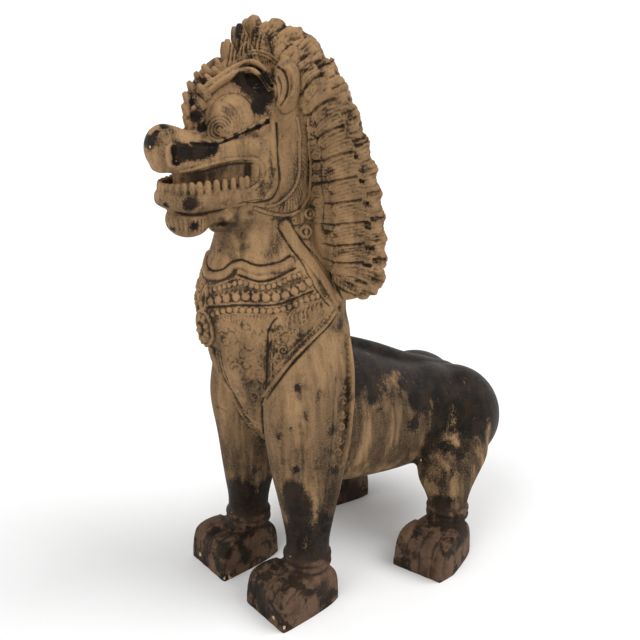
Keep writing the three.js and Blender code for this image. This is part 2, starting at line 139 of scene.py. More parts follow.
class Form:
    """Closed meshes gathered into one."""

    def __init__(self):
        self.points = []
        self.faces = []
        self.count = 0

    def add(self, points, faces, mirror=False):
        """Adds a closed mesh given in metres, and its mirror image if asked."""
        points = np.asarray(points, float)
        self.points.append(points)
        self.faces.extend([tuple(i + self.count for i in face) for face in faces])
        self.count += len(points)
        if mirror:
            self.points.append(points * np.array([-1.0, 1.0, 1.0]))
            self.faces.extend([tuple(i + self.count for i in reversed(face)) for face in faces])
            self.count += len(points)

    def rings(self, rings, mirror=False):
        """Adds rings of points in shares, joined in a row with a fan over each end."""
        rings = np.asarray(rings, float)
        rows, sides = rings.shape[:2]
        points = metres(np.concatenate([rings.reshape(-1, 3), [rings[0].mean(0), rings[-1].mean(0)]]))
        faces = []
        for row in range(rows - 1):
            for i in range(sides):
                j = (i + 1) % sides
                a, b = row * sides, (row + 1) * sides
                faces.append((a + i, a + j, b + j, b + i))
        first, last, top = rows * sides, rows * sides + 1, (rows - 1) * sides
        for i in range(sides):
            j = (i + 1) % sides
            faces.append((first, j, i))
            faces.append((last, top + i, top + j))
        volume = np.einsum("ij,ij->i", points[[f[0] for f in faces]],
                           np.cross(points[[f[1] for f in faces]], points[[f[2] for f in faces]])).sum()
        if volume < 0:
            faces = [tuple(reversed(face)) for face in faces]
        self.add(points, faces, mirror)

    def upright(self, rows, sides=48, fine=6, keel=0.0, mirror=False):
        """Rows: height, centre x, centre y, half width, half depth. A keel draws in the front."""
        angle = np.linspace(0, 2 * np.pi, sides, endpoint=False)
        drawn = 1 - keel * np.clip(np.cos(angle), 0, None)
        rings = [np.stack([x + across * np.sin(angle) * drawn, y - deep * np.cos(angle),
                           np.full(sides, z)], 1) for z, x, y, across, deep in smooth_rows(rows, fine)]
        self.rings(rings, mirror)

    def lengthwise(self, rows, sides=48, fine=6, power=2.0, mirror=False):
        """Rows: place along y, centre x, low edge, high edge, half width."""
        angle = np.linspace(0, 2 * np.pi, sides, endpoint=False)
        u = np.sign(np.cos(angle)) * np.abs(np.cos(angle)) ** (2 / power)
        v = np.sign(np.sin(angle)) * np.abs(np.sin(angle)) ** (2 / power)
        rings = [np.stack([x + across * u, np.full(sides, y), (low + high) / 2 + (high - low) / 2 * v], 1)
                 for y, x, low, high, across in smooth_rows(rows, fine)]
        self.rings(rings, mirror)

    def ridge(self, rows, outward, sides=16, fine=6, mirror=False, profile=None):
        """Rows: x, y, z, half width, half thickness. The width lies square to outward."""
        rows = smooth_rows(rows, fine)
        angle = np.linspace(0, 2 * np.pi, sides, endpoint=False)
        rings = []
        for i, (x, y, z, wide, thick) in enumerate(rows):
            along = rows[min(i + 1, len(rows) - 1)][:3] - rows[max(i - 1, 0)][:3]
            away = np.asarray(outward(x, y, z) if callable(outward) else outward, float)
            side = np.cross(along, away)
            side /= np.linalg.norm(side)
            out = np.cross(side, along)
            out /= np.linalg.norm(out)
            across, lift = np.cos(angle), np.sin(angle)
            if profile:
                across, lift = profile(i / (len(rows) - 1), angle)
            rings.append(np.array([x, y, z]) + np.outer(across * wide, side) + np.outer(lift * thick, out))
        self.rings(rings, mirror)

    def egg(self, centre, half, turn=0.0, sides=32, mirror=False):
        """An egg turned about the vertical by so many degrees."""
        levels = sides // 2
        tilt = np.linspace(0, np.pi, levels + 1)[1:-1]
        angle = np.linspace(0, 2 * np.pi, sides, endpoint=False)
        c, s = math.cos(math.radians(turn)), math.sin(math.radians(turn))
        rings = []
        for t in tilt:
            x = half[0] * np.cos(angle) * math.sin(t)
            y = half[1] * np.sin(angle) * math.sin(t)
            z = np.full(sides, -half[2] * math.cos(t))
            rings.append(np.stack([c * x - s * y, s * x + c * y, z], 1) + np.asarray(centre))
        self.rings(rings, mirror)

    def object(self, name):
        mesh = bpy.data.meshes.new(name)
        mesh.from_pydata(np.concatenate(self.points).tolist(), [], self.faces)
        mesh.update()
        piece = bpy.data.objects.new(name, mesh)
        bpy.context.scene.collection.objects.link(piece)
        return piece


# Mesh operations

def applied(piece):
    """The piece with its modifiers made real."""
    seen = bpy.context.evaluated_depsgraph_get()
    mesh = bpy.data.meshes.new_from_object(piece.evaluated_get(seen))
    old = piece.data
    piece.modifiers.clear()
    piece.data = mesh
    bpy.data.meshes.remove(old)
    return piece


def remeshed(piece, voxel, smoothing):
    """One skin over everything in the piece, with its creases softened."""
    skin = piece.modifiers.new("skin", "REMESH")
    skin.mode = "VOXEL"
    skin.voxel_size = voxel
    soft = piece.modifiers.new("soft", "SMOOTH")
    soft.factor = 0.5
    soft.iterations = smoothing
    return applied(piece)


def carved(piece, cutter):
    """The piece with the cutter's space taken out."""
    cut = piece.modifiers.new("cut", "BOOLEAN")
    cut.operation = "DIFFERENCE"
    cut.solver = "EXACT"
    cut.use_self = True
    cut.object = cutter
    return applied(piece)


def merged(piece, *others):
    """The piece with the meshes of the others added to it."""
    form = Form()
    for each in (piece, *others):
        points = vertex_array(each.data)
        form.add(points, [tuple(p.vertices) for p in each.data.polygons])
    whole = form.object(piece.name + "_whole")
    for each in (piece, *others):
        drop(each)
    return whole


def drop(piece):
    mesh = piece.data
    bpy.data.objects.remove(piece)
    bpy.data.meshes.remove(mesh)


def vertex_array(mesh):
    points = np.empty(len(mesh.vertices) * 3)
    mesh.vertices.foreach_get("co", points)
    return points.reshape(-1, 3)


def normal_array(mesh):
    normals = np.empty(len(mesh.vertices) * 3)
    mesh.vertices.foreach_get("normal", normals)
    return normals.reshape(-1, 3)


def set_vertices(mesh, points):
    mesh.vertices.foreach_set("co", points.ravel())
    mesh.update()


def store(mesh, name, values):
    layer = mesh.attributes.new(name, "FLOAT", "POINT")
    layer.data.foreach_set("value", np.asarray(values, np.float32))


def edge_array(mesh):
    edges = np.empty(len(mesh.edges) * 2, int)
    mesh.edges.foreach_get("vertices", edges)
    return edges.reshape(-1, 2)


def spread(values, edges, rounds):
    """Values of the vertices averaged with their neighbours, so many times."""
    values = np.array(values, float)
    flat = values.ndim == 1
    if flat:
        values = values[:, None]
    count = len(values)
    a, b = edges[:, 0], edges[:, 1]
    degree = np.bincount(a, minlength=count) + np.bincount(b, minlength=count)
    degree = np.maximum(degree, 1)[:, None]
    for _ in range(rounds):
        total = np.stack([np.bincount(a, values[b, k], count) + np.bincount(b, values[a, k], count)
                          for k in range(values.shape[1])], 1)
        values = 0.5 * values + 0.5 * total / degree
    return values[:, 0] if flat else values


def sky(x):
    """Smooth step of x from 0 to 1."""
    x = np.clip(x, 0, 1)
    return x * x * (3 - 2 * x)


# Strokes laid on the surface

class Surface:
    """Base surfaces that strokes are laid on, by the photograph's pixels."""

    def __init__(self, *pieces):
        points, faces, count = [], [], 0
        for piece in pieces:
            own = vertex_array(piece.data)
            points.append(own)
            faces.extend([tuple(i + count for i in p.vertices) for p in piece.data.polygons])
            count += len(own)
        self.tree = BVHTree.FromPolygons(np.concatenate(points).tolist(), faces)

    def at_pixel(self, px, py):
        hit, normal, _, _ = self.tree.ray_cast(Vector(CAMERA_PLACE), Vector(pixel_ray(px, py)))
        return (None, None) if hit is None else (np.array(hit), np.array(normal))

    def trace(self, pixels, spacing=0.0015):
        """Places and normals along a smooth line through pixels, a small step apart."""
        line = smooth_rows(pixels, 10) if len(pixels) > 2 else np.linspace(pixels[0], pixels[-1], 16)
        places, normals = [], []
        for px, py in line:
            place, normal = self.at_pixel(px, py)
            if place is not None:
                places.append(place)
                normals.append(normal)
        if len(places) < 2:
            return NO_PLACES, NO_PLACES
        places, normals = np.array(places), np.array(normals)
        gap = np.linalg.norm(np.diff(places, axis=0), axis=1)
        whole = np.concatenate([[0], np.cumsum(gap)])
        wanted = np.linspace(0, whole[-1], max(int(whole[-1] / spacing), 2))
        even = np.stack([np.interp(wanted, whole, places[:, k]) for k in range(3)], 1)
        facing = np.stack([np.interp(wanted, whole, normals[:, k]) for k in range(3)], 1)
        return even, facing / np.linalg.norm(facing, axis=1)[:, None]


# A stroke as deep as this is as dark with dirt and painted shade as one gets, and reaches this many half
# widths
FULL_DEPTH = 0.0018
STROKE_REACH = 1.5
NO_PLACES = np.zeros((0, 3))


class Relief:
    """Heights pressed into a piece along its normals, and the dirt, painted shade and wear that go with them.
    """

    CELL = 0.008
    BATCH = 4000

    def __init__(self, piece):
        self.piece = piece
        self.points = vertex_array(piece.data)
        self.normals = normal_array(piece.data)
        count = len(self.points)
        self.raised, self.cut, self.crest = np.zeros(count), np.zeros(count), np.zeros(count)
        self.marks = {name: np.zeros(count) for name in ("dirt", "glaze", "bare")}
        keys = self.keys(self.points)
        order = np.argsort(keys, kind="stable")
        values, starts = np.unique(keys[order], return_index=True)
        self.cells = dict(zip(values.tolist(), np.split(order, starts[1:])))

    def keys(self, points):
        cell = np.floor(points / self.CELL).astype(int) + 500
        return (cell[..., 0] * 1000 + cell[..., 1]) * 1000 + cell[..., 2]

    def near(self, places, reach):
        low = np.floor((places.min(0) - reach) / self.CELL).astype(int)
        high = np.floor((places.max(0) + reach) / self.CELL).astype(int)
        grid = np.stack(np.meshgrid(*[np.arange(a, b + 1) for a, b in zip(low, high)], indexing="ij"), -1)
        found = [self.cells[key] for key in self.keys((grid.reshape(-1, 3) + 0.5) * self.CELL).tolist()
                 if key in self.cells]
        return np.concatenate(found) if found else np.zeros(0, int)

    def shares(self, places, normals, half, reach):
        """Points near the places, with their gap as a share of half the width."""
        inside = self.near(places, half.max() * reach)
        for start in range(0, len(inside), self.BATCH):
            part = inside[start:start + self.BATCH]
            gap = np.linalg.norm(self.points[part][:, None] - places[None], axis=2)
            best = (gap / half).argmin(1)
            share = gap[np.arange(len(part)), best] / half[best]
            seen = ((self.normals[part] * normals[best]).sum(1) > 0.1) & (share < reach)
            yield part[seen], share[seen]

    def stroke(self, places, normals, half, height, soft=True, flat=False, dirty=1.0, mirror=True):
        """Raises, or cuts where height is negative, along the places."""
        if len(places) == 0:
            return
        half = np.full(len(places), half)
        for sign in ((1, -1) if mirror else (1,)):
            flip = np.array([sign, 1.0, 1.0])
            for part, share in self.shares(places * flip, normals * flip, half, STROKE_REACH):
                rise = sky(1 - share) if soft else np.sqrt(np.clip(1 - share**2, 0, 1))
                rise = sky(3 * (1 - share)) if flat else rise
                # Dirt and painted shade: dark at the foot of a raised stroke and inside a cut
                depth = min(abs(height) / FULL_DEPTH, 1.0) * dirty
                if height > 0:
                    self.raised[part] = np.maximum(self.raised[part], rise * height)
                    self.crest[part] = np.maximum(self.crest[part], rise)
                    dirt_and_shade_mark = 0.75 * depth * sky(1 - np.abs(share - 1.0) / 0.32)
                else:
                    self.cut[part] = np.minimum(self.cut[part], rise * height)
                    dirt_and_shade_mark = 0.85 * depth * sky(1.0 - share)
                self.marks["dirt"][part] = np.maximum(self.marks["dirt"][part], dirt_and_shade_mark)

    def paint(self, mark, places, normals, radius, strength):
        """Marks the skin round the places, on both sides of the lion."""
        half = np.full(len(places), radius)
        for sign in (1, -1):
            flip = np.array([sign, 1.0, 1.0])
            for part, share in self.shares(places * flip, normals * flip, half, STROKE_REACH):
                value = strength * sky((STROKE_REACH - share) / 1.3)
                self.marks[mark][part] = 1 - (1 - self.marks[mark][part]) * (1 - value)

    def press(self):
        """Moves the skin and leaves the marks on it; crests stay free of dirt and painted shade unless
        something is cut there.
        """
        moved = self.points + self.normals * (self.raised + self.cut)[:, None]
        set_vertices(self.piece.data, moved)
        self.marks["dirt"] *= 1 - 0.8 * self.crest * (self.cut > -0.0004)
        for name, values in self.marks.items():
            store(self.piece.data, name, values)


# Trunk, legs and paws

TRUNK = [
    [0.095, 0, 0.255, 0.430, 0.070], [0.150, 0, 0.195, 0.442, 0.102], [0.210, 0, 0.165, 0.445, 0.108],
    [0.275, 0, 0.152, 0.420, 0.108], [0.340, 0, 0.144, 0.388, 0.109], [0.400, 0, 0.145, 0.362, 0.114],
    [0.460, 0, 0.155, 0.345, 0.128], [0.520, 0, 0.160, 0.322, 0.134], [0.565, 0, 0.178, 0.296, 0.112],
    [0.590, 0, 0.205, 0.265, 0.070],
]
TAIL = [
    [0, 0.250, 0.432, 0.010, 0.012], [0, 0.330, 0.394, 0.018, 0.016], [0, 0.410, 0.356, 0.020, 0.015],
    [0, 0.490, 0.324, 0.024, 0.014], [0, 0.556, 0.288, 0.026, 0.016], [0, 0.586, 0.220, 0.020, 0.014],
]
FORELEG = [
    [0.030, 0.092, 0.092, 0.034, 0.036], [0.090, 0.093, 0.094, 0.038, 0.039],
    [0.125, 0.0925, 0.096, 0.038, 0.040], [0.170, 0.091, 0.099, 0.042, 0.050],
    [0.220, 0.087, 0.104, 0.046, 0.064], [0.280, 0.081, 0.109, 0.048, 0.080],
    [0.360, 0.083, 0.102, 0.050, 0.083], [0.440, 0.076, 0.111, 0.053, 0.083],
    [0.500, 0.064, 0.114, 0.052, 0.088], [0.550, 0.046, 0.108, 0.048, 0.088],
]
FORELEG_FLAME = [
    [0.112, 0.168, 0.490, 0.009, 0.004], [0.117, 0.172, 0.420, 0.015, 0.006],
    [0.119, 0.166, 0.330, 0.017, 0.006], [0.111, 0.156, 0.250, 0.016, 0.006],
    [0.106, 0.134, 0.180, 0.013, 0.005], [0.104, 0.117, 0.110, 0.010, 0.004],
]
HIND_LEG = [
    [0.030, 0.145, 0.402, 0.034, 0.036], [0.095, 0.142, 0.405, 0.037, 0.038],
    [0.124, 0.134, 0.412, 0.043, 0.049], [0.150, 0.124, 0.424, 0.052, 0.068],
    [0.180, 0.112, 0.448, 0.058, 0.080], [0.230, 0.092, 0.474, 0.052, 0.070],
]
CHEST = [
    [0.285, 0, 0.103, 0.035, 0.035], [0.320, 0, 0.103, 0.055, 0.058], [0.360, 0, 0.102, 0.072, 0.080],
    [0.404, 0, 0.101, 0.088, 0.100], [0.440, 0, 0.098, 0.100, 0.114], [0.480, 0, 0.097, 0.108, 0.122],
    [0.530, 0, 0.093, 0.118, 0.132], [0.560, 0, 0.091, 0.116, 0.131], [0.600, 0, 0.088, 0.102, 0.118],
    [0.640, 0, 0.085, 0.088, 0.098], [0.680, 0, 0.085, 0.080, 0.086], [0.760, 0, 0.090, 0.076, 0.080],
]
CHEST_KEEL = 0.12
# Rounded masses: the middle and half the size each way
HAUNCH = [0.052, 0.502, 0.229], [0.099, 0.099, 0.102]
BELLY_BOSS = [0, 0.388, 0.148], [0.020, 0.034, 0.020]
MEDALLION = [0, -0.036, 0.522], [0.024, 0.014, 0.032]
MEDALLION_HEIGHT = MEDALLION[0][2]
# Ankle rings: x, y and radius. Paws: x, y and turn in degrees
ANKLETS = [(0.0925, 0.094, 0.043), (0.142, 0.405, 0.041)]
ANKLET_RINGS = [(0.0925, 0.0055), (0.0790, 0.0065)]
PAWS = [(0.0925, 0.0, 0.0), (0.1745, 0.298, 15.0)]
PAW_BLOCK = [
    [0.000, 0, -0.060, 0.044, 0.047], [0.003, 0, -0.060, 0.057, 0.051], [0.012, 0, -0.060, 0.065, 0.052],
    [0.036, 0, -0.060, 0.071, 0.051], [0.070, 0, -0.060, 0.073, 0.049], [0.110, 0, -0.060, 0.070, 0.044],
    [0.132, 0, -0.050, 0.058, 0.037], [0.137, 0, -0.040, 0.046, 0.033],
]
TOE_SPACING = 0.0262


def body_core():
    """The big forms of the body, run together as in modelled clay."""
    form = Form()
    form.lengthwise(TRUNK, power=2.2)
    form.upright(FORELEG, mirror=True)
    form.upright(HIND_LEG, mirror=True)
    form.egg(*HAUNCH, mirror=True)
    form.upright(CHEST, sides=64, keel=CHEST_KEEL)
    form.egg(*BELLY_BOSS)
    form.egg(*MEDALLION)
    return remeshed(form.object("body_core"), CORE_VOXEL, CORE_SMOOTHING)


def turned(points, degrees, place):
    """Points in shares turned about the vertical and moved."""
    c, s = math.cos(math.radians(degrees)), math.sin(math.radians(degrees))
    x, y, z = points.T
    return np.stack([c * x - s * y + place[0], s * x + c * y + place[1], z], 1)


def paw_forms():
    """Square paws: a block with four low toes, each with a knuckle, cut flat below."""
    whole = Form()
    for x, y, turn in PAWS:
        paw = Form()
        paw.lengthwise(PAW_BLOCK, sides=64, fine=4, power=6)
        for place in (-1.5, -0.5, 0.5, 1.5):
            middle = place * TOE_SPACING
            paw.ridge([
                [middle * 0.94, 0.060, 0.070, 0.0100, 0.0026], [middle, 0.030, 0.068, 0.0128, 0.0040],
                [middle, 0.010, 0.060, 0.0130, 0.0048], [middle, 0.003, 0.038, 0.0130, 0.0034],
                [middle, 0.002, 0.014, 0.0132, 0.0030], [middle, 0.003, -0.006, 0.0132, 0.0030]],
                [0, -1, 0.8], sides=20)
        points = (np.concatenate(paw.points) - SHIFT) / HEIGHT
        flare = np.clip(1 - points[:, 2] / 0.070, 0, 1)
        points[:, 0] *= 1 + 0.09 * flare
        points[:, 1] -= 0.003 * flare * np.clip(1 - points[:, 1] / 0.10, 0, 1)
        whole.add(metres(turned(points, turn, (x, y))), paw.faces, mirror=True)
    return whole.object("paws")


def anklet_forms(form):
    """Bracelets of two raised rings round each ankle."""
    for x, y, radius in ANKLETS:
        for middle, half in ANKLET_RINGS:
            rows = []
            for step in np.linspace(-1, 1, 9):
                bulge = radius - 0.004 + 0.0045 * math.sqrt(max(1 - step * step, 0))
                rows.append([middle + half * step, x, y, bulge, bulge])
            form.upright(rows, sides=40, fine=2, mirror=True)


def lion_body():
    """The body in one skin, cut flat where it stands on the ground."""
    form = Form()
    form.ridge(TAIL, [0, 0.5, 1])
    form.ridge(FORELEG_FLAME, [0.6, 0.8, 0], mirror=True)
    anklet_forms(form)
    whole = merged(body_core(), paw_forms(), form.object("extras"))
    whole = remeshed(whole, BODY_VOXEL, 2)
    ground = Form()
    ground.add(np.array([[x, y, z] for z in (-0.3, 0.0) for y in (-1, 1) for x in (-1, 1)], float),
               [(0, 2, 3, 1), (4, 5, 7, 6), (0, 1, 5, 4), (1, 3, 7, 5), (3, 2, 6, 7), (2, 0, 4, 6)])
    block = ground.object("ground_block")
    whole = carved(whole, block)
    drop(block)
    return whole


# Head

SKULL = [
    [0.675, 0, 0.050, 0.056, 0.068], [0.710, 0, 0.050, 0.071, 0.093], [0.765, 0, 0.050, 0.078, 0.102],
    [0.820, 0, 0.052, 0.075, 0.104], [0.865, 0, 0.056, 0.068, 0.106], [0.895, 0, 0.066, 0.061, 0.100],
    [0.920, 0, 0.082, 0.052, 0.086], [0.950, 0, 0.096, 0.036, 0.050],
]
UPPER_JAW = [
    [-0.092, 0, 0.776, 0.792, 0.012], [-0.078, 0, 0.768, 0.812, 0.023], [-0.060, 0, 0.768, 0.824, 0.036],
    [-0.030, 0, 0.774, 0.832, 0.052], [0.010, 0, 0.782, 0.838, 0.070], [0.045, 0, 0.786, 0.842, 0.078],
]
LOWER_JAW = [
    [-0.109, 0, 0.730, 0.748, 0.014], [-0.101, 0, 0.724, 0.751, 0.026], [-0.086, 0, 0.719, 0.753, 0.038],
    [-0.056, 0, 0.718, 0.755, 0.050], [-0.016, 0, 0.718, 0.758, 0.063], [0.052, 0, 0.724, 0.766, 0.079],
]
CHEEK = [
    [0.012, 0, 0.722, 0.836, 0.066], [0.030, 0, 0.720, 0.838, 0.0735], [0.050, 0, 0.722, 0.838, 0.0795],
    [0.055, 0, 0.726, 0.834, 0.078],
]
NECKLET = [
    [0.690, 0, 0.078, 0.070, 0.036], [0.715, 0, 0.082, 0.086, 0.038], [0.760, 0, 0.086, 0.094, 0.040],
    [0.820, 0, 0.090, 0.093, 0.040], [0.870, 0, 0.092, 0.084, 0.036], [0.900, 0, 0.094, 0.066, 0.032],
]
MOUTH_GAP = [
    [-0.140, 0, 0.755, 0.771, 0.140], [-0.080, 0, 0.755, 0.776, 0.140], [-0.020, 0, 0.754, 0.792, 0.140],
    [0.008, 0, 0.756, 0.794, 0.140], [0.018, 0, 0.766, 0.784, 0.140],
]
TEETH_LINE = [
    [0.004, -0.100, 0.750], [0.026, -0.090, 0.751], [0.041, -0.062, 0.753],
    [0.053, -0.026, 0.755], [0.062, 0.008, 0.757],
]
FOREHEAD_TUFTS = 6
CREST_TUFTS = [
    [0.000, 0.000, 0.936], [0.000, 0.022, 0.962], [0.000, 0.044, 0.984],
    [0.026, 0.014, 0.932], [0.030, 0.034, 0.958], [0.030, 0.054, 0.980],
]
FOREHEAD_LINE = [
    [0, -0.046, 0.836], [0, -0.047, 0.856], [0, -0.041, 0.876], [0, -0.027, 0.893], [0, -0.010, 0.906],
]
BROW = [
    [0.006, -0.044, 0.868, 0.003, 0.006], [0.026, -0.010, 0.902, 0.0035, 0.008],
    [0.040, 0.026, 0.919, 0.0035, 0.008], [0.052, 0.042, 0.912, 0.0035, 0.008],
    [0.062, 0.054, 0.890, 0.0035, 0.007],
]
UPPER_BROW = [
    [0.0035, -0.049, 0.879, 0.003, 0.006], [0.026, -0.005, 0.913, 0.0035, 0.008],
    [0.040, 0.031, 0.930, 0.0035, 0.008], [0.052, 0.047, 0.923, 0.0035, 0.008],
    [0.062, 0.059, 0.901, 0.0035, 0.007],
]
CHIN = [0, -0.060, 0.702], [0.034, 0.036, 0.028]
THROAT = [0, 0.005, 0.712], [0.044, 0.056, 0.028]
SNOUT_ROOT = [[0.740, 0, 0, 0.050, 0.082], [0.810, 0, 0, 0.052, 0.080]]
NOSE_BALL = [0, -0.094, 0.812], [0.031, 0.030, 0.035]
NOSTRIL_BALL = [0.021, -0.082, 0.800], [0.018, 0.022, 0.025]
EYEBALL = [0.036, 0.002, 0.850], [0.030, 0.035, 0.036]
EAR_HOLLOW = [0.086, 0.058, 0.902], [0.016, 0.014, 0.026]
EAR_TURN = 35
NOSE = [
    [-0.112, 0, 0.778, 0.838, 0.020], [-0.098, 0, 0.776, 0.845, 0.028], [-0.078, 0, 0.780, 0.843, 0.030],
    [-0.055, 0, 0.790, 0.836, 0.030], [-0.020, 0, 0.800, 0.850, 0.034],
]
EAR = [
    [0.858, 0.070, 0.078, 0.008, 0.010], [0.872, 0.071, 0.076, 0.019, 0.016],
    [0.895, 0.072, 0.076, 0.025, 0.018], [0.918, 0.072, 0.077, 0.023, 0.016],
    [0.932, 0.071, 0.078, 0.013, 0.010], [0.940, 0.070, 0.078, 0.004, 0.005],
]
# A tooth's outline: height from the gum, and width as a share of its width at the gum
TOOTH = ((-0.006, 1.0), (0.004, 1.0), (0.010, 0.8), (0.012, 0.3))
TEETH = 13
BIG_TEETH = 9
BIG_TOOTH = 0.0050
SMALL_TOOTH = 0.0042


def head_core():
    """Skull, jaws, chin and nose in one skin, with the mouth cut open."""
    gap = Form()
    gap.lengthwise(MOUTH_GAP, power=4)
    cutter = gap.object("mouth_gap")
    parts = []
    for name, build in (
            ("skull", lambda form: form.upright(SKULL, keel=0.6)),
            ("upper_jaw", lambda form: form.lengthwise(UPPER_JAW, power=2.5)),
            ("lower_jaw", lambda form: form.lengthwise(LOWER_JAW, power=3.0)),
            ("cheek", lambda form: form.lengthwise(CHEEK, power=5.0)),
            ("chin", lambda form: form.egg(*CHIN)),
            ("throat", lambda form: form.egg(*THROAT))):
        form = Form()
        build(form)
        parts.append(carved(form.object(name), cutter))
    drop(cutter)
    form = Form()
    form.upright(SNOUT_ROOT, keel=0.4)
    form.upright(NECKLET)
    form.egg(*NOSE_BALL)
    form.egg(*NOSTRIL_BALL, mirror=True)
    form.lengthwise(NOSE, power=2.6)
    return remeshed(merged(*parts, form.object("nose")), HEAD_CORE_VOXEL, HEAD_CORE_SMOOTHING)


def head_features():
    """Eyes, brows, teeth, the roll of tufts over the forehead and the crest above it."""
    form = Form()
    form.egg(*EYEBALL, mirror=True)
    for rows in (BROW, UPPER_BROW):
        form.ridge(rows, [0.6, -0.7, 0.4], mirror=True)
    for i in range(TEETH):
        x, y, z = row_at(TEETH_LINE, i / (TEETH - 1))
        size = BIG_TOOTH if i < BIG_TEETH else SMALL_TOOTH
        tooth = [[z + up, x, y, size * share, size * share] for up, share in TOOTH]
        form.upright(tooth, sides=12, fine=3, mirror=True)
    for i in range(FOREHEAD_TUFTS):
        centre = row_at(FOREHEAD_LINE, i / (FOREHEAD_TUFTS - 1))
        for side, size in ((0, 1.0), (1, 0.85)):
            start = centre + np.array([0.012 * side, 0.006 * side, 0.002])
            rows = [[*(start + np.array([0.003 * side, -0.0125 * t, 0.019 * t]) * size),
                     size * 0.0098 * (1 - 0.75 * t * t), size * 0.0085 * (1 - 0.6 * t)]
                    for t in np.linspace(-0.3, 1, 6)]
            form.ridge(rows, [0.5 * side, -1, -0.3], sides=20, mirror=side > 0,
                       profile=combed(2.5, 0.16, 0.5))
    for x, y, z in CREST_TUFTS:
        rows = [[x, y + 0.014 * (1 - t) ** 1.5, z - 0.048 * (1 - t), 0.0035 + 0.0135 * (1 - t**2) ** 0.7,
                 0.0030 + 0.0075 * (1 - t**2)] for t in np.linspace(0, 1, 8)]
        form.ridge(rows, [25 * x, -1, -0.2], sides=28, mirror=x > 0, profile=combed(2.5, 0.10, 0.5))
    return form.object("head_features")


def ear_shells():
    """Cupped ears: a leaf-shaped shell, pointed above and hollowed towards the front."""
    shell = Form()
    shell.upright(EAR)
    hollow = Form()
    hollow.egg(*EAR_HOLLOW, turn=EAR_TURN)
    cutter = hollow.object("ear_hollow")
    ear = carved(shell.object("ear_shell"), cutter)
    drop(cutter)
    form = Form()
    form.add(vertex_array(ear.data), [tuple(p.vertices) for p in ear.data.polygons], mirror=True)
    drop(ear)
    return form.object("ears")


def lion_head():
    return remeshed(merged(head_core(), head_features(), ear_shells()), HEAD_VOXEL, 2)


# Mane

# Rows of the hood: height, centre x, centre y, half width, half depth
HOOD = [
    [0.556, 0, 0.178, 0.120, 0.066], [0.600, 0, 0.194, 0.141, 0.068], [0.650, 0, 0.188, 0.146, 0.066],
    [0.710, 0, 0.178, 0.149, 0.062], [0.780, 0, 0.160, 0.148, 0.060], [0.845, 0, 0.138, 0.139, 0.057],
    [0.890, 0, 0.125, 0.124, 0.052], [0.932, 0, 0.115, 0.096, 0.044], [0.958, 0, 0.104, 0.062, 0.034],
    [0.972, 0, 0.096, 0.032, 0.020],
]
HOOD_ROWS = np.array(HOOD)
LOCKS_A_SIDE = 15
STRANDS_A_LOCK = 7
STRAND_DEPTH = 0.0008
JOINT_DEPTH = 0.0034
LOCK_SIZE = (0.0215, 0.0125)
SHORT_LOCK_THICKNESS = 0.0090
BACK_LOCK_SIZE = (0.0205, 0.010)
BACK_LOCKS = 11
CHART_PLACES = 1201
CHART_WAYS = 33
RIM_SHARE = 0.82
# Tips and roots of the locks, from the top of the mane down one side: x and height
LOCK_TIPS = [
    [0.000, 0.996], [0.067, 0.977], [0.121, 0.932], [0.154, 0.870], [0.170, 0.795],
    [0.173, 0.725], [0.171, 0.660], [0.164, 0.602], [0.144, 0.564],
]
LOCK_ROOTS = [
    [0.000, 0.925], [0.030, 0.932], [0.066, 0.920], [0.096, 0.880], [0.106, 0.820],
    [0.109, 0.760], [0.108, 0.700], [0.104, 0.640], [0.096, 0.600],
]
TIP_CURVE = smooth_rows(LOCK_TIPS, 16)
ROOT_CURVE = smooth_rows(LOCK_ROOTS, 16)


def hood_level(z):
    """Centre y, half width and half depth of the hood at a height."""
    return [np.interp(z, HOOD_ROWS[:, 0], HOOD_ROWS[:, k]) for k in (2, 3, 4)]


def hood_at(x, z, lift):
    """A place on the front of the hood, x out and z up, standing off by lift."""
    y, across, deep = hood_level(z)
    angle = math.asin(min(1.0, x / across))
    return np.array([(across + lift) * math.sin(angle), y - (deep + lift) * math.cos(angle), z])


def lock_bend(place):
    """How far a lock swings off a straight line: not at all at the top, more down the side."""
    return 0.010 * sky(place * 3)


def combed(grooves, depth, turns):
    """The section of a lock: a flat leaf, thicker above, with grooves combed along it."""
    def section(run, angle):
        across, lift = np.cos(angle), np.sin(angle)
        shape = np.where(lift > 0, np.abs(lift) ** 0.55 * (1 - 0.18 * across), lift)
        wave = depth * np.cos(2 * np.pi * grooves * (across + 1) / 2 + turns * run)
        return across, np.where(lift > 0.05, shape + wave * np.clip(lift * 4, 0, 1), shape)
    return section


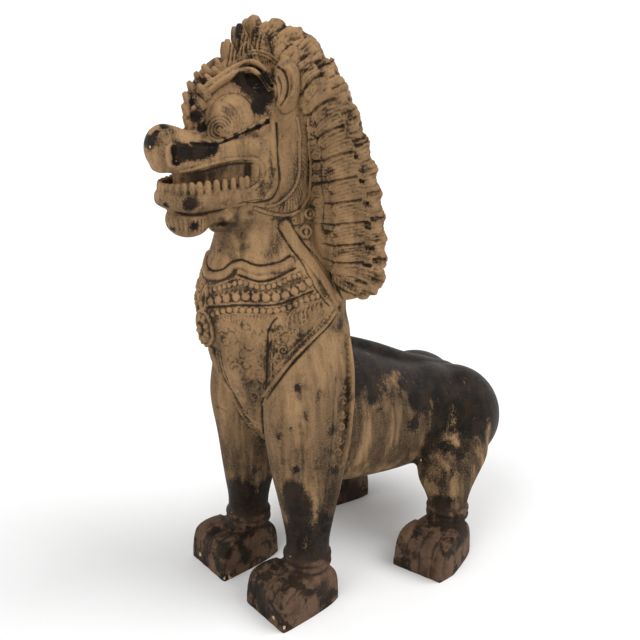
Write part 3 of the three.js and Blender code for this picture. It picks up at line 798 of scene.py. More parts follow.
def lock_rows(place, first, last, wide, thick, bend, lift, sharp, climb=0.0):
    """Rows of one lock, from share first to share last of its way from the face to the rim."""
    rows = []
    for s in np.linspace(0, 1, 9):
        here = min(max(place - climb * s, 0.0), 1.0)
        tip_x, tip_z = on_curve(TIP_CURVE, here)
        root_x, root_z = on_curve(ROOT_CURVE, here)
        run_x, run_z = tip_x - root_x, tip_z - root_z
        length = math.hypot(run_x, run_z)
        up_x, up_z = -run_z / length, run_x / length
        rim_y = hood_level(tip_z)[0] - 0.018 * sky(1 - here / 0.30)
        way = first + (last - first) * s
        swing = bend * math.sin(math.pi * way)
        x = root_x + way * run_x + swing * up_x
        z = root_z + way * run_z + swing * up_z
        width = wide * (0.55 + 0.45 * math.sin(math.pi * min(s * 1.25, 1) / 2))
        width *= max(1 - np.clip((s - sharp) / (1 - sharp), 0, 1) ** 2.5, 0.0) ** 0.6 + 0.12 * (s == 1)
        height = thick * (0.35 + 0.65 * sky(s * 1.6)) * (1 - 0.55 * sky((s - 0.8) / 0.2))
        if way < RIM_SHARE:
            spot = hood_at(max(x, 0.0), z, lift * sky(s * 1.5))
        else:
            near_x = max(root_x + RIM_SHARE * run_x + swing * up_x, 0.0)
            near = hood_at(near_x, root_z + RIM_SHARE * run_z, lift)
            share = (way - RIM_SHARE) / (1 - RIM_SHARE)
            spot = near + (np.array([tip_x, rim_y - lift, tip_z]) - near) * share
        rows.append([*spot, width, height])
    return rows


def mane_forms():
    """The hood, a lock to each tip round its rim, and two shorter locks in each gap."""
    form = Form()
    form.upright(HOOD, sides=96)
    spacing = 1 / (LOCKS_A_SIDE - 1)
    for i in range(LOCKS_A_SIDE):
        place = i * spacing
        outward = [4 * row_at(LOCK_TIPS, place)[0], -1, 0]
        bend = lock_bend(place)
        sharp = 0.56 + 0.10 * sky((place - 0.30) / 0.30)
        rows = lock_rows(place, 0.02, 1.0, *LOCK_SIZE, bend, 0.005, sharp)
        form.ridge(rows, outward, sides=44, fine=3, mirror=i > 0, profile=combed(4.5, 0.10, 1.2))
        if i < LOCKS_A_SIDE - 1:
            between = place + spacing / 2
            outward = [4 * row_at(LOCK_TIPS, between)[0], -1, 0]
            for last, lift, wide in ((0.74, 0.005, 0.0130), (0.46, 0.006, 0.0125)):
                rows = lock_rows(between + 0.3 * spacing, 0.0, last, wide, SHORT_LOCK_THICKNESS, bend, lift,
                                 0.35, 1.1 * spacing * last)
                form.ridge(rows, outward, sides=36, fine=3, mirror=True, profile=combed(3.5, 0.13, -1.5))
    return form


def back_locks(form):
    """Plainer locks that fall from the rim to the middle of the back of the mane."""
    low, high, lift = 0.600, 0.955, 0.002
    for i in range(BACK_LOCKS):
        tip_z = low + (high - low) * i / (BACK_LOCKS - 1)
        line = []
        for s in np.linspace(0, 1, 8):
            z = max(tip_z - 0.035 * s, HOOD_ROWS[0, 0])
            y, across, deep = hood_level(z)
            angle = math.radians(84 + 92 * s)
            line.append([(across + lift) * math.sin(angle), y - (deep + lift) * math.cos(angle), z,
                         BACK_LOCK_SIZE[0], BACK_LOCK_SIZE[1] * (1 - 0.5 * s)])
        form.ridge(line, lambda x, y, z: [x, 2.5 * (y - 0.13), 0.05], sides=40, fine=3, mirror=True,
                   profile=combed(4.5, 0.12, 2.0))


def mane_chart(points):
    """For each point of the mane's front: its place round the rim and its way from the root, 0 to 1."""
    tree = KDTree(CHART_PLACES * CHART_WAYS)
    for i in range(CHART_PLACES):
        place = i / (CHART_PLACES - 1)
        rows = lock_rows(place, 0.0, 1.0, 0.01, 0.01, lock_bend(place), 0.008, 0.5)
        for k, spot in enumerate(metres(smooth_rows([row[:3] for row in rows], 4))):
            tree.insert(spot, i * CHART_WAYS + k)
    tree.balance()
    near_side = np.column_stack([np.abs(points[:, 0]), points[:, 1:]])
    found = np.array([tree.find(point)[1:] for point in near_side.tolist()])
    index = found[:, 0].astype(int)
    return index // CHART_WAYS / (CHART_PLACES - 1), index % CHART_WAYS / (CHART_WAYS - 1), found[:, 1]


def comb_mane(relief):
    """Combs fine strands along the locks and sinks the joints between them; darkens grooves and joints with
    dirt and painted shade, and the undersides of the locks with painted shadow.
    """
    place, way, gap = mane_chart(relief.points)
    phase = place * (LOCKS_A_SIDE - 1)
    here = sky(1.8 - gap / 0.014)
    inner = sky((0.52 - way) / 0.10)
    outer_phase = phase + 0.10 * np.sin(8 * way + 2.3 * np.round(phase))
    inner_phase = phase + 1.3 * way + 0.5
    phase = np.where(way < 0.50, inner_phase, outer_phase)
    groove = (0.5 - 0.5 * np.cos(2 * np.pi * (phase + 0.30 * way) * STRANDS_A_LOCK)) ** 1.8
    across = phase - np.round(phase)
    joint = sky((np.abs(across) - 0.36) / 0.14) * (1 - 0.3 * inner)
    # Painted shadow under the lower edge of each lock
    under_shadow = sky((across - 0.22) / 0.20) * sky((way - 0.50) / 0.15)
    relief.cut = np.minimum(relief.cut, -(STRAND_DEPTH * groove + JOINT_DEPTH * joint) * here)
    x, y, z = relief.points.T
    x = np.abs(x)
    patchy = 0.60 + 0.40 * np.sin(95 * z + 3 * np.sin(60 * x)) * np.sin(80 * x + 2 * np.sin(50 * y))
    dirt = np.maximum(0.22 * groove, np.maximum(0.60 * joint, 0.50 * under_shadow)) * patchy * here
    relief.marks["dirt"] = np.maximum(relief.marks["dirt"], dirt)


def lion_mane():
    form = mane_forms()
    back_locks(form)
    return remeshed(form.object("mane_forms"), MANE_VOXEL, 1)


# Wear and painted shade, laid on by the photograph's pixels: pixel x, pixel y and radius in pixels

GLAZE_SPOTS = [
    (250, 84, 11), (262, 96, 13), (264, 80, 9), (240, 78, 7), (258, 108, 8),
    (180, 151, 9), (188, 152, 10), (197, 152, 10), (206, 150, 9), (213, 149, 6), (215, 145, 4), (150, 141, 8),
    (163, 126, 5), (156, 132, 4), (176, 162, 5), (226, 140, 3), (236, 136, 4), (247, 131, 4), (258, 126, 4),
    (267, 121, 3), (205, 144, 3), (196, 116, 7), (202, 128, 5), (192, 102, 4), (190, 205, 7), (166, 206, 4),
    (195, 226, 6), (168, 228, 4), (222, 224, 7), (300, 510, 20), (306, 534, 22), (292, 492, 12),
    (298, 553, 16), (322, 520, 9), (314, 548, 14), (296, 470, 5), (278, 437, 3), (291, 429, 3),
    (362, 384, 9), (372, 399, 9), (366, 372, 8), (386, 388, 6), (402, 384, 8), (411, 402, 7), (380, 410, 4),
    (396, 356, 16), (372, 352, 12), (420, 362, 24), (440, 382, 32), (462, 388, 28), (468, 412, 20),
    (446, 410, 20), (484, 392, 14), (420, 398, 16), (414, 424, 8), (432, 436, 9), (447, 446, 9),
    (461, 454, 6), (440, 425, 12), (405, 372, 14), (488, 412, 10), (438, 503, 9), (452, 500, 8),
    (444, 518, 7), (352, 500, 20),
]
THIN_GLAZE_SPOTS = [
    (430, 452, 13), (448, 470, 14), (426, 478, 10), (464, 446, 10), (470, 470, 9), (440, 488, 10),
    (297, 388, 4), (298, 398, 4), (192, 98, 6), (186, 118, 5),
    (240, 30, 9), (256, 34, 10), (268, 40, 8), (228, 38, 8), (214, 62, 8), (204, 80, 6), (196, 95, 6),
    (352, 116, 6), (362, 170, 6), (368, 205, 6), (372, 250, 6), (350, 285, 7), (330, 170, 5), (326, 232, 5),
    (262, 500, 14), (258, 470, 9), (268, 530, 9), (240, 520, 8), (222, 460, 5), (332, 430, 7), (334, 470, 7),
    (262, 590, 6), (270, 574, 6), (300, 575, 8), (322, 588, 12), (335, 575, 8), (250, 602, 5), (300, 615, 5),
    (245, 550, 14), (268, 545, 8), (205, 552, 8), (222, 565, 6), (414, 556, 6), (446, 562, 7), (425, 575, 5),
    (455, 545, 6), (404, 570, 4), (216, 250, 6), (208, 300, 5), (270, 345, 5), (270, 330, 4),
]
# Painted shade inside the mouth, under the chin and in small hollows of the face
HOLLOW_SHADE_SPOTS = [
    (190, 178, 6), (200, 177, 7), (212, 175, 7), (224, 171, 8), (236, 170, 8), (248, 170, 6), (182, 180, 4),
    (222, 220, 5), (236, 216, 5), (250, 213, 4), (300, 112, 5), (204, 136, 4), (230, 226, 8), (250, 224, 6),
]
# Painted shade under the jaw and round the eye
SHADED_SPOTS = [
    (222, 232, 15), (240, 226, 15), (258, 222, 12), (226, 250, 13), (246, 244, 9), (216, 126, 8),
    (230, 112, 9),
]
BARE_SPOTS = [
    (273.5, 618, 2.5), (284.5, 627.5, 2.5), (230, 578, 2.2), (224, 578, 1.8), (400, 560, 1.8),
    (446, 580, 1.8), (150, 147, 1.6), (421, 460, 1.4), (459, 463, 1.4), (176, 162, 1.4), (412, 577, 1.5),
    (290, 556, 1.2),
]


# Carving, laid on by the photograph's pixels. The far side repeats the near side.

# About how wide a pixel is on the lion, in metres
PIXEL_WIDTH = 0.0015

# Face: lines through pixels of the photograph
ARCH_LOW = [(249, 54), (259.5, 54), (268.5, 57.5), (276, 63)]
ARCH_HIGH = [(249, 51), (261, 51), (271.5, 55.5), (278.5, 61)]
LID = [(208.5, 137), (219, 140.5), (231, 137.5), (244.5, 130), (258, 123.5), (268, 117.5)]
LID_FOLD = [(191, 143), (208, 144), (219, 143), (232, 138), (244.5, 132.5), (257, 127.5), (268, 122.5)]
SNOUT_LINE = [(176, 147), (190, 147.5), (205, 148.5), (216, 147)]
MOUTH_RIM = [(181, 171), (192, 169.5), (213, 163.5), (232, 159), (252, 158.6), (260.5, 164),
             (262.5, 173), (258.5, 184), (249, 190.5)]
CHEEK_EDGE = [(277, 124), (278, 140), (278.5, 158), (280, 178), (278, 190), (271, 199.5), (258, 202.5),
              (243, 203.5)]
LIP_LOW = [(161, 206), (186, 214.5), (213, 212), (243, 203), (262, 200)]
BAND_INNER = [(297.5, 118), (300, 133.5), (299.5, 145), (299.5, 161), (299, 174), (295, 186.5), (288, 196),
              (277, 204), (267, 206.5)]
BAND_OUTER = [(308, 118), (309, 133.5), (308.5, 146), (310.5, 162), (310.5, 180), (308, 196), (301.5, 207),
              (292, 213.5), (280, 215), (267.5, 212.5), (255, 208)]
ROSETTES = [(309.5, 213.5, 5.5), (305.5, 231.5, 6.5), (295.5, 220.5, 4.0), (302.5, 149.5, 3.5)]
SCROLLS = [(315.5, 155, 4.5), (316.5, 167, 4.0), (316, 178, 4.5), (317.5, 190, 4.5), (318, 202, 5.0),
           (312, 141, 4.0), (310, 129, 3.6)]
SCROLL_EDGE = [(314, 120), (319, 140), (321.5, 160), (321, 180), (323.5, 205), (322, 228)]
ARCH_FOOT = [(252, 62), (262, 63), (269, 68), (273, 73)]
EAR_RIM = [(276, 66), (284, 72), (287.5, 84), (286, 96), (280, 106)]
EAR_PIT = [(272, 78), (277, 88), (276, 100)]
EAR_FOLD = [(278, 76), (281.5, 86), (280, 97)]
CHIN_TOP = [(165, 215), (180, 218), (196, 218.5), (206, 217)]
CHIN_FOOT = [(170, 228), (182, 232), (195, 234), (206, 232)]
LIP_TOP = [(163, 194), (175, 197), (188, 198), (204, 198)]
LIP_FOOT = [(161, 204), (175, 210), (188, 211), (204, 210)]
EYE_MIDDLE = (219.3, 129.5)
NOSTRIL = (172.5, 154.5)

# Chest: lines through pixels of the photograph
STRAP = [(285, 226), (296, 244), (309, 259), (321, 276), (331, 292), (337, 301)]
STRAP_EDGE_IN = [(278, 228), (290, 247), (303, 264), (312, 282), (322, 298), (330, 306)]
STRAP_EDGE_OUT = [(292, 226), (303, 242), (316, 256), (328, 272), (337, 288), (343, 300)]
STRAP_PIT = (340.5, 306.5)
COLLAR = [(209, 269.5), (216, 270.5), (225, 268), (232.5, 262), (241.5, 260), (252, 264), (262, 265.5),
          (273.5, 263.5), (282.5, 261), (290, 256)]
SWAG = [(239, 275), (248, 278.5), (259.5, 281.5), (272, 279.5), (284, 274), (296, 268)]
CORD_HIGH = [(206, 287), (216, 285.5), (228.5, 280.5), (238, 277.5)]
BEADS_HIGH = [(207.5, 291.5), (221, 287.5), (240, 282.5), (250, 285), (262, 287.5), (275, 285.5),
              (283, 282), (290, 278), (299, 275)]
BEADS_BIG = [(211, 301.5), (221, 299.5), (241.5, 296.5), (257, 297.5), (272, 297.5), (286, 295),
             (300, 288), (309, 282)]
CORD_LOW = [(207, 307.5), (221, 306.5), (239, 305.2), (254, 305.6), (272, 305.2), (285, 302.5),
            (297, 297.5), (313.5, 291)]
BEADS_LOW = [(213.5, 314.5), (223, 311), (232.5, 310), (254, 310.5), (273.5, 310.8), (287.5, 307.5),
             (300.5, 301.5), (317, 296)]
FRINGE_TOP = [(219, 317), (240, 315.5), (266, 316)]
FRINGE_FOOT = [(221, 325), (239, 323.5), (262, 324)]
PANEL_EDGE = [(334.5, 312), (326, 324), (314, 336.5), (302, 348.5), (289.5, 362), (277.5, 377.5),
              (268, 390), (264, 396)]
PANEL_INNER = [(325, 313), (317, 324.5), (305.5, 337), (294.5, 347.5), (283, 360), (272.5, 373),
               (264.5, 387)]
MIDDLE_LINE = [(217, 351), (219.5, 365.5), (225.5, 382.5), (235, 401), (243.5, 416.5), (255.5, 428.5),
               (263.5, 437)]
PENDANT = [(277, 318), (272, 324), (268, 334), (268, 348), (267, 362), (267, 378), (266, 392)]
PANEL_FOOT = [(264, 396), (262, 404), (262.5, 420), (263.5, 434)]
PANEL_LEAVES = [(283, 350, 5.0), (296, 331, 4.5), (305, 322, 4.0), (281, 366, 4.0), (276, 336, 4.0)]
STIPPLE_AREA = [(222, 352), (214, 322), (262, 322), (266, 330), (264, 395), (259, 424), (240, 402)]
LEAF_AREA = [(270, 326), (292, 324), (318, 312), (300, 338), (284, 354), (270, 372)]

# Legs: lines through pixels of the photograph
FLAMES = [(344, 388, 4.4), (343, 401, 4.4), (342, 414, 4.4), (341, 427, 4.4), (339, 440, 4.4),
          (338, 453, 4.2), (336, 466, 4.0), (334, 479, 4.0), (332, 492, 3.8), (330, 505, 3.6),
          (328, 518, 3.4), (326, 531, 3.2)]
FLAME_EDGE = [(336, 378), (334.5, 400), (333, 425), (331, 450), (328, 475), (324.5, 500), (321, 530)]
LEG_CREASES = [
    [(320, 345), (322, 372), (318, 400)], [(296, 386), (303, 402), (306, 420)],
    [(281, 420), (283, 455), (288, 490)], [(300, 425), (303, 455), (302, 490)],
]


def moved(pixels, x, y):
    """The same pixels, x further right and y further down."""
    return [(px + x, py + y) for px, py in pixels]


def spiral(px, py, radius, turns=1.6, start=0.0):
    """Pixels along a spiral that winds in to its middle."""
    out = []
    for s in np.linspace(0, 1, 22):
        angle = start + turns * 2 * math.pi * s
        reach = radius * (1 - 0.85 * s)
        out.append((px + reach * math.cos(angle), py + reach * math.sin(angle)))
    return out


def arc(px, py, radius, start, end, squash=1.0, points=12):
    """Pixels along part of a ring, with angles in degrees and clockwise on the picture."""
    return [(px + radius * math.cos(math.radians(a)), py + radius * squash * math.sin(math.radians(a)))
            for a in np.linspace(start, end, points)]


class Carver:
    """Presses the same strokes into every piece that they touch."""

    def __init__(self, *pieces):
        self.surface = Surface(*pieces)
        self.reliefs = {piece: Relief(piece) for piece in pieces}

    def lay(self, places, normals, half, height, **options):
        """One stroke over every piece: half its width, and its height, below nothing for a cut."""
        for relief in self.reliefs.values():
            relief.stroke(places, normals, half, height, **options)

    def line(self, pixels, half, height, **options):
        places, normals = self.surface.trace(pixels)
        self.lay(places, normals, half, height, **options)

    def lines(self, *strokes):
        """Lines given as pixels, half width, height and how dark with dirt and painted shade they are."""
        for pixels, half, height, dirty in strokes:
            self.line(pixels, half, height, dirty=dirty)

    def path(self, found, half, height, **options):
        """A stroke along places, each given with its normal."""
        places, normals = zip(*found)
        self.lay(np.array(places), np.array(normals), half, height, **options)

    def dot(self, place, normal, radius, height, **options):
        if place is not None:
            self.lay(place[None], normal[None], radius, height, **options)

    def beads(self, pixels, spacing, radius, height):
        for place, normal in zip(*self.surface.trace(pixels, spacing)):
            self.dot(place, normal, radius, height, soft=False)

    def spot(self, px, py, radius, height):
        self.dot(*self.surface.at_pixel(px, py), radius, height, soft=height < 0)

    def ticks(self, first, second, count, half, height, low=0.1, high=0.9, lean=0.0):
        """Short strokes across the space between two lines."""
        for i in range(count):
            t = (i + 0.5) / count
            a = row_at(first, t)
            b = row_at(second, min(max(t + lean, 0.0), 1.0))
            self.line([tuple(a + (b - a) * low), tuple(a + (b - a) * high)], half, height)

    def rosette(self, px, py, radius):
        """A boss in a rolled ring, its radius in pixels."""
        size = radius * PIXEL_WIDTH
        self.line(arc(px, py, radius * 0.80, 0, 360), size * 0.34, 0.0022, dirty=0.8)
        self.spot(px, py, size * 0.45, 0.0026)

    def nearest(self, spot):
        """The place on the skin nearest to a spot in metres, and its normal."""
        hit, normal, _, _ = self.surface.tree.find_nearest(Vector(spot))
        return np.array(hit), np.array(normal)

    def along(self, points, half, height, **options):
        """A stroke on the skin nearest to a path given in shares."""
        self.path([self.nearest(spot) for spot in metres(smooth_rows(points, 8))], half, height, **options)

    def paint(self, mark, spots, strength=1.0):
        """Marks round spots: pixel x, pixel y and radius in pixels."""
        for px, py, radius in spots:
            place, normal = self.surface.at_pixel(px, py)
            if place is not None:
                size = radius * np.linalg.norm(place - CAMERA_PLACE) / PHOTO_FOCUS
                for relief in self.reliefs.values():
                    relief.paint(mark, place[None], normal[None], size, strength)

    def front(self, x, z):
        """A place on the front of the body, x out and z up in shares."""
        start = metres([x, -0.4, z])
        hit, normal, _, _ = self.surface.tree.ray_cast(Vector(start), Vector((0, 1, 0)))
        return np.array(hit), np.array(normal)

    def front_line(self, points, half, height, **options):
        self.path([self.front(x, z) for x, z in smooth_rows(points, 12)], half, height, **options)


def carve_face(carver):
    """Lids, brows, snout, mouth, ears and chin, and the band of rolled curls round the jaw."""
    carver.lines(
        (ARCH_LOW, 0.0024, 0.0020, 1.0),
        (ARCH_HIGH, 0.0024, 0.0020, 1.0),
        (LID, 0.0026, 0.0015, 0.6),
        (LID_FOLD, 0.0028, -0.0026, 1.0),
        (SNOUT_LINE, 0.0016, 0.0010, 1.0),
        (MOUTH_RIM, 0.0034, 0.0018, 0.6),
        (moved(MOUTH_RIM[1:5], 1, 5), 0.0018, -0.0014, 1.0),
        (CHEEK_EDGE, 0.0032, -0.0028, 0.6),
        (moved(CHEEK_EDGE[:6], -4.5, -2.5), 0.0040, 0.0012, 1.0),
        (LIP_LOW, 0.0028, -0.0024, 0.7),
        (BAND_INNER, 0.0024, 0.0026, 1.0),
        (BAND_OUTER, 0.0026, 0.0028, 1.0),
        (SCROLL_EDGE, 0.0020, -0.0014, 0.5),
        (EAR_RIM, 0.0026, -0.0022, 0.7),
        (EAR_PIT, 0.0030, -0.0018, 0.8),
        (EAR_FOLD, 0.0020, -0.0012, 0.6),
        (arc(*NOSTRIL, 5.6, 0, 360, 2.0, 24), 0.0030, 0.0016, 0.4),
        (moved([(NOSTRIL[0], NOSTRIL[1] - 6), (NOSTRIL[0], NOSTRIL[1] + 6)], 1, 0), 0.0042, -0.0030, 1.0),
    )
    for reach in (3.2, 6.2, 9.4, 12.8):
        carver.line(arc(*EYE_MIDDLE, reach, 100, 330, 1.05), 0.0016, -0.0012 if reach > 4 else -0.0020)
    for reach in (15.0, 18.5, 22.5):
        carver.line(arc(*EYE_MIDDLE, reach, -85, 10, 1.25), 0.0013, -0.0007, dirty=0.5)
    carver.ticks(ARCH_LOW, ARCH_FOOT, 9, 0.0013, -0.0010)
    carver.ticks(BAND_INNER, BAND_OUTER, 30, 0.0012, -0.0012, 0.25, 0.75)
    carver.ticks(CHIN_TOP, CHIN_FOOT, 9, 0.0015, -0.0012)
    carver.ticks(LIP_TOP, LIP_FOOT, 12, 0.0010, -0.0006)
    for px, py, radius in ROSETTES:
        carver.rosette(px, py, radius)
    for i, (px, py, radius) in enumerate(SCROLLS):
        carver.line(spiral(px, py, radius, start=math.pi * (i % 2)), 0.0022, 0.0022)
    for i in range(7):
        x = 226 + 3.2 * i
        lash = [(x, 114 - 0.5 * (i - 3) ** 2), (x + 1.5, 118), (x + 1.0, 127 - 0.3 * i)]
        carver.line(lash, 0.0012, -0.0006)
    for i in range(8):
        hair = [(227 + 4.6 * i, max(66 - 3.4 * i, 50)), (229 + 4.4 * i, max(54 - 2.6 * i, 42)),
                (232 + 4.2 * i, 36)]
        carver.line(hair, 0.0018, -0.0018, dirty=0.8)
    for i in range(4):
        wrinkle = [(167 + 3.2 * i, 121 + 1.5 * i), (169.5 + 3.2 * i, 127 + 1.5 * i), (170 + 3 * i, 133 + i)]
        carver.line(wrinkle, 0.0014, -0.0008)
    carver.spot(176, 163, 0.0048, -0.0060)


def carve_collar(carver):
    """The strap to the shoulder, the rolled collar and the rows of cords and beads under it."""
    carver.line(STRAP, 0.0080, 0.0022, flat=True, dirty=0.4)
    carver.spot(*STRAP_PIT, 0.0075, -0.0090)
    carver.lines(
        (STRAP_EDGE_IN, 0.0018, -0.0020, 1.0),
        (STRAP_EDGE_OUT, 0.0016, -0.0016, 1.0),
        (moved(COLLAR, 0, 5.5), 0.0066, 0.0034, 1.0),
        (COLLAR, 0.0020, -0.0026, 0.85),
        (SWAG, 0.0024, -0.0026, 1.0),
        (moved(SWAG[:4], 0, -4), 0.0044, 0.0018, 1.0),
        (CORD_HIGH, 0.0018, 0.0016, 1.0),
        (CORD_LOW, 0.0020, -0.0022, 1.0),
        (moved(CORD_LOW, 0, -2.2), 0.0016, 0.0014, 1.0),
        (moved(BEADS_LOW, 0, 4), 0.0015, 0.0012, 1.0),
    )
    carver.beads(BEADS_HIGH, 0.0062, 0.0032, 0.0024)
    carver.beads(BEADS_BIG, 0.0108, 0.0054, 0.0032)
    carver.beads(moved(BEADS_BIG, 0, -4.5), 0.0058, 0.0018, 0.0012)
    carver.beads(BEADS_LOW, 0.0074, 0.0038, 0.0030)
    for i in range(9):
        carver.line(spiral(248 + 4.6 * i, 271 - 0.096 * abs(i - 3) * i, 2.4, 1.2), 0.0012, 0.0010)
    carver.ticks(FRINGE_TOP, FRINGE_FOOT, 16, 0.0014, 0.0012, 0.0, 1.0)
    for i in range(9):
        foot = (287 + 4.6 * i, 327 - 2.2 * i)
        tip = (295 + 4.0 * i, 309 - 1.6 * i)
        waist = ((foot[0] + tip[0]) / 2 - 2.6, (foot[1] + tip[1]) / 2 - 1.5)
        carver.line([foot, waist, tip], 0.0019, 0.0020)


def medallion_place(reach, turn):
    """A place on the medallion, in shares: x out and height."""
    return reach * math.cos(turn), MEDALLION_HEIGHT + 1.3 * reach * math.sin(turn)


def carve_medallion(carver):
    """The rib down the middle with its beads, and the flower in a ring at its top."""
    carver.front_line([(0, 0.505), (0, 0.45), (0, 0.40), (0, 0.35), (0, 0.30)], 0.0044, 0.0024, mirror=False)
    for i in range(34):
        carver.dot(*carver.front(0.0, 0.505 - 0.0062 * i), 0.0028, 0.0040, soft=False, mirror=False)
    for ring, half, height in ((0.022, 0.0030, 0.0024), (0.0085, 0.0018, -0.0020)):
        circle = [medallion_place(ring, a) for a in np.linspace(0, 2 * math.pi, 17)]
        carver.front_line(circle, half, height, mirror=False)
    for i in range(8):
        petal = [medallion_place(reach, 2 * math.pi * (i + 0.5) / 8) for reach in (0.011, 0.014, 0.017)]
        carver.front_line(petal, 0.0034, 0.0020, mirror=False)
    carver.dot(*carver.front(0.0, MEDALLION_HEIGHT), 0.0052, 0.0036, soft=False, mirror=False)
    carver.front_line([(0, 0.550), (0.008, 0.566), (0, 0.590)], 0.0040, 0.0034)


def carve_panel(carver):
    """The breast panel: its rolled edge, the pendant and the shallow leaves between them."""
    carver.lines(
        (PANEL_EDGE, 0.0030, 0.0040, 1.0),
        (moved(PANEL_EDGE, 2.6, 2.6), 0.0022, -0.0026, 1.0),
        (PANEL_INNER, 0.0018, 0.0018, 1.0),
        (PANEL_FOOT, 0.0024, -0.0026, 1.0),
        (MIDDLE_LINE, 0.0022, 0.0022, 1.0),
        (moved(MIDDLE_LINE, 3, 0), 0.0016, -0.0016, 1.0),
        (PENDANT, 0.0026, -0.0020, 0.8),
        (moved(PENDANT[2:], -4, 0), 0.0016, 0.0014, 1.0),
        (moved(PENDANT[2:], 4.5, 0), 0.0018, 0.0016, 1.0),
    )
    carver.ticks(PANEL_INNER, PANEL_EDGE, 26, 0.0013, 0.0014, 0.1, 0.8, 0.03)
    for px, py, radius in PANEL_LEAVES:
        carver.line(spiral(px, py, radius, 1.3, 2.0), 0.0018, 0.0018)
    for _ in range(150):
        px, py = random.uniform(214, 300), random.uniform(322, 424)
        turn, reach = random.uniform(0, 360), random.uniform(2.6, 5.0)
        if inside(px, py, STIPPLE_AREA) or inside(px, py, LEAF_AREA):
            height = random.choice([-0.0012, 0.0012])
            carver.line(arc(px, py, reach, turn, turn + 200), 0.0022, height, dirty=0.4)
    for _ in range(420):
        px, py = random.uniform(213, 268), random.uniform(322, 424)
        if inside(px, py, STIPPLE_AREA):
            carver.spot(px, py, random.uniform(0.0012, 0.0024), random.uniform(0.0003, 0.0007))


def inside(px, py, outline):
    """Whether a pixel is inside an outline."""
    crossings = 0
    for (ax, ay), (bx, by) in zip(outline, outline[1:] + outline[:1]):
        if (ay > py) != (by > py) and px < ax + (py - ay) * (bx - ax) / (by - ay):
            crossings += 1
    return crossings % 2 == 1


def carve_paws(carver):
    """Grooves between the toes, lines of fur over the top, and a crease down each outer side."""
    for x, y, turn in PAWS:
        def groove(points, half, height, dirty=1.0):
            carver.along(turned(np.array(points), turn, (x, y)), half, height, dirty=dirty)
        for middle in (-TOE_SPACING, 0, TOE_SPACING):
            groove([[middle * 0.9, 0.062, 0.072], [middle, 0.030, 0.070], [middle, 0.006, 0.060],
                    [middle, -0.004, 0.036], [middle, -0.004, 0.004]], 0.0020, -0.0014, 0.7)
        for step in range(9):
            middle = (step - 4) * 0.0108
            groove([[middle * 0.8, 0.050, 0.075], [middle * 0.95, 0.022, 0.072],
                    [middle + 0.002, 0.000, 0.055], [middle, -0.004, 0.040]], 0.0013, -0.0007, 0.7)
        groove([[0.056, 0.060, 0.058], [0.056, 0.085, 0.045], [0.052, 0.105, 0.020]], 0.0018, -0.0010)


def paint_glaze_wear_and_shade(carver):
    carver.paint("glaze", GLAZE_SPOTS)
    carver.paint("glaze", THIN_GLAZE_SPOTS, 0.55)
    # Painted shade: inside the mouth, in small hollows of the face, under the jaw and round the eye
    carver.paint("dirt", HOLLOW_SHADE_SPOTS, 0.9)
    carver.paint("dirt", SHADED_SPOTS, 0.65)
    carver.paint("bare", BARE_SPOTS)


def carve_legs(carver):
    """Creases of the skin, the strip of scrolls down each foreleg and the barbs along its edge."""
    for line in LEG_CREASES:
        carver.line(line, 0.0050, -0.0010, dirty=0.2)
    carver.line(FLAME_EDGE, 0.0030, -0.0012, dirty=0.25)
    for i, (px, py, radius) in enumerate(FLAMES):
        carver.line(spiral(px, py, radius, 1.3, start=math.pi * (i % 2)), 0.0022, 0.0020, dirty=0.6)
    for row in smooth_rows(FORELEG_FLAME, 8):
        place, normal = carver.nearest(metres([row[0] + 0.004, row[1] - 0.006, row[2]]))
        tilt = np.cross(normal, [0.0, 0.0, 1.0])
        for lean in (-1, 1):
            barb = [place + k * (0.0014 * lean * tilt + np.array([0, 0, 0.0016])) for k in range(5)]
            carver.path([(spot, normal) for spot in barb], 0.0016, -0.0013, dirty=0.3)


# Finish: how much dark glaze, wear, dirt and painted shade each place shows

# Depths and heights, in metres, at which a hollow or an edge counts in full
SMALL_HOLLOW = 0.00035
SMALL_EDGE = 0.00030
LARGE_FORM = 0.0016


def shape_values(mesh):
    """Hollows and edges of the surface, at a fine and a broad scale, from 0 to 1."""
    points, normals, edges = vertex_array(mesh), normal_array(mesh), edge_array(mesh)
    fine = spread(points, edges, 6)
    broad = spread(fine, edges, 40)
    small = ((points - fine) * normals).sum(1)
    large = ((points - broad) * spread(normals, edges, 10)).sum(1)
    # Hollows are darkened in the material as painted shade and hold a little more glaze; edges are lightened
    # as wear
    hollow = 0.6 * sky(-small / SMALL_HOLLOW) + 0.7 * sky(-large / LARGE_FORM)
    edge = 0.5 * sky(small / SMALL_EDGE) + 0.6 * sky(large / LARGE_FORM)
    return spread(np.clip(hollow, 0, 1), edges, 1), spread(np.clip(edge, 0, 1), edges, 1)


# Materials

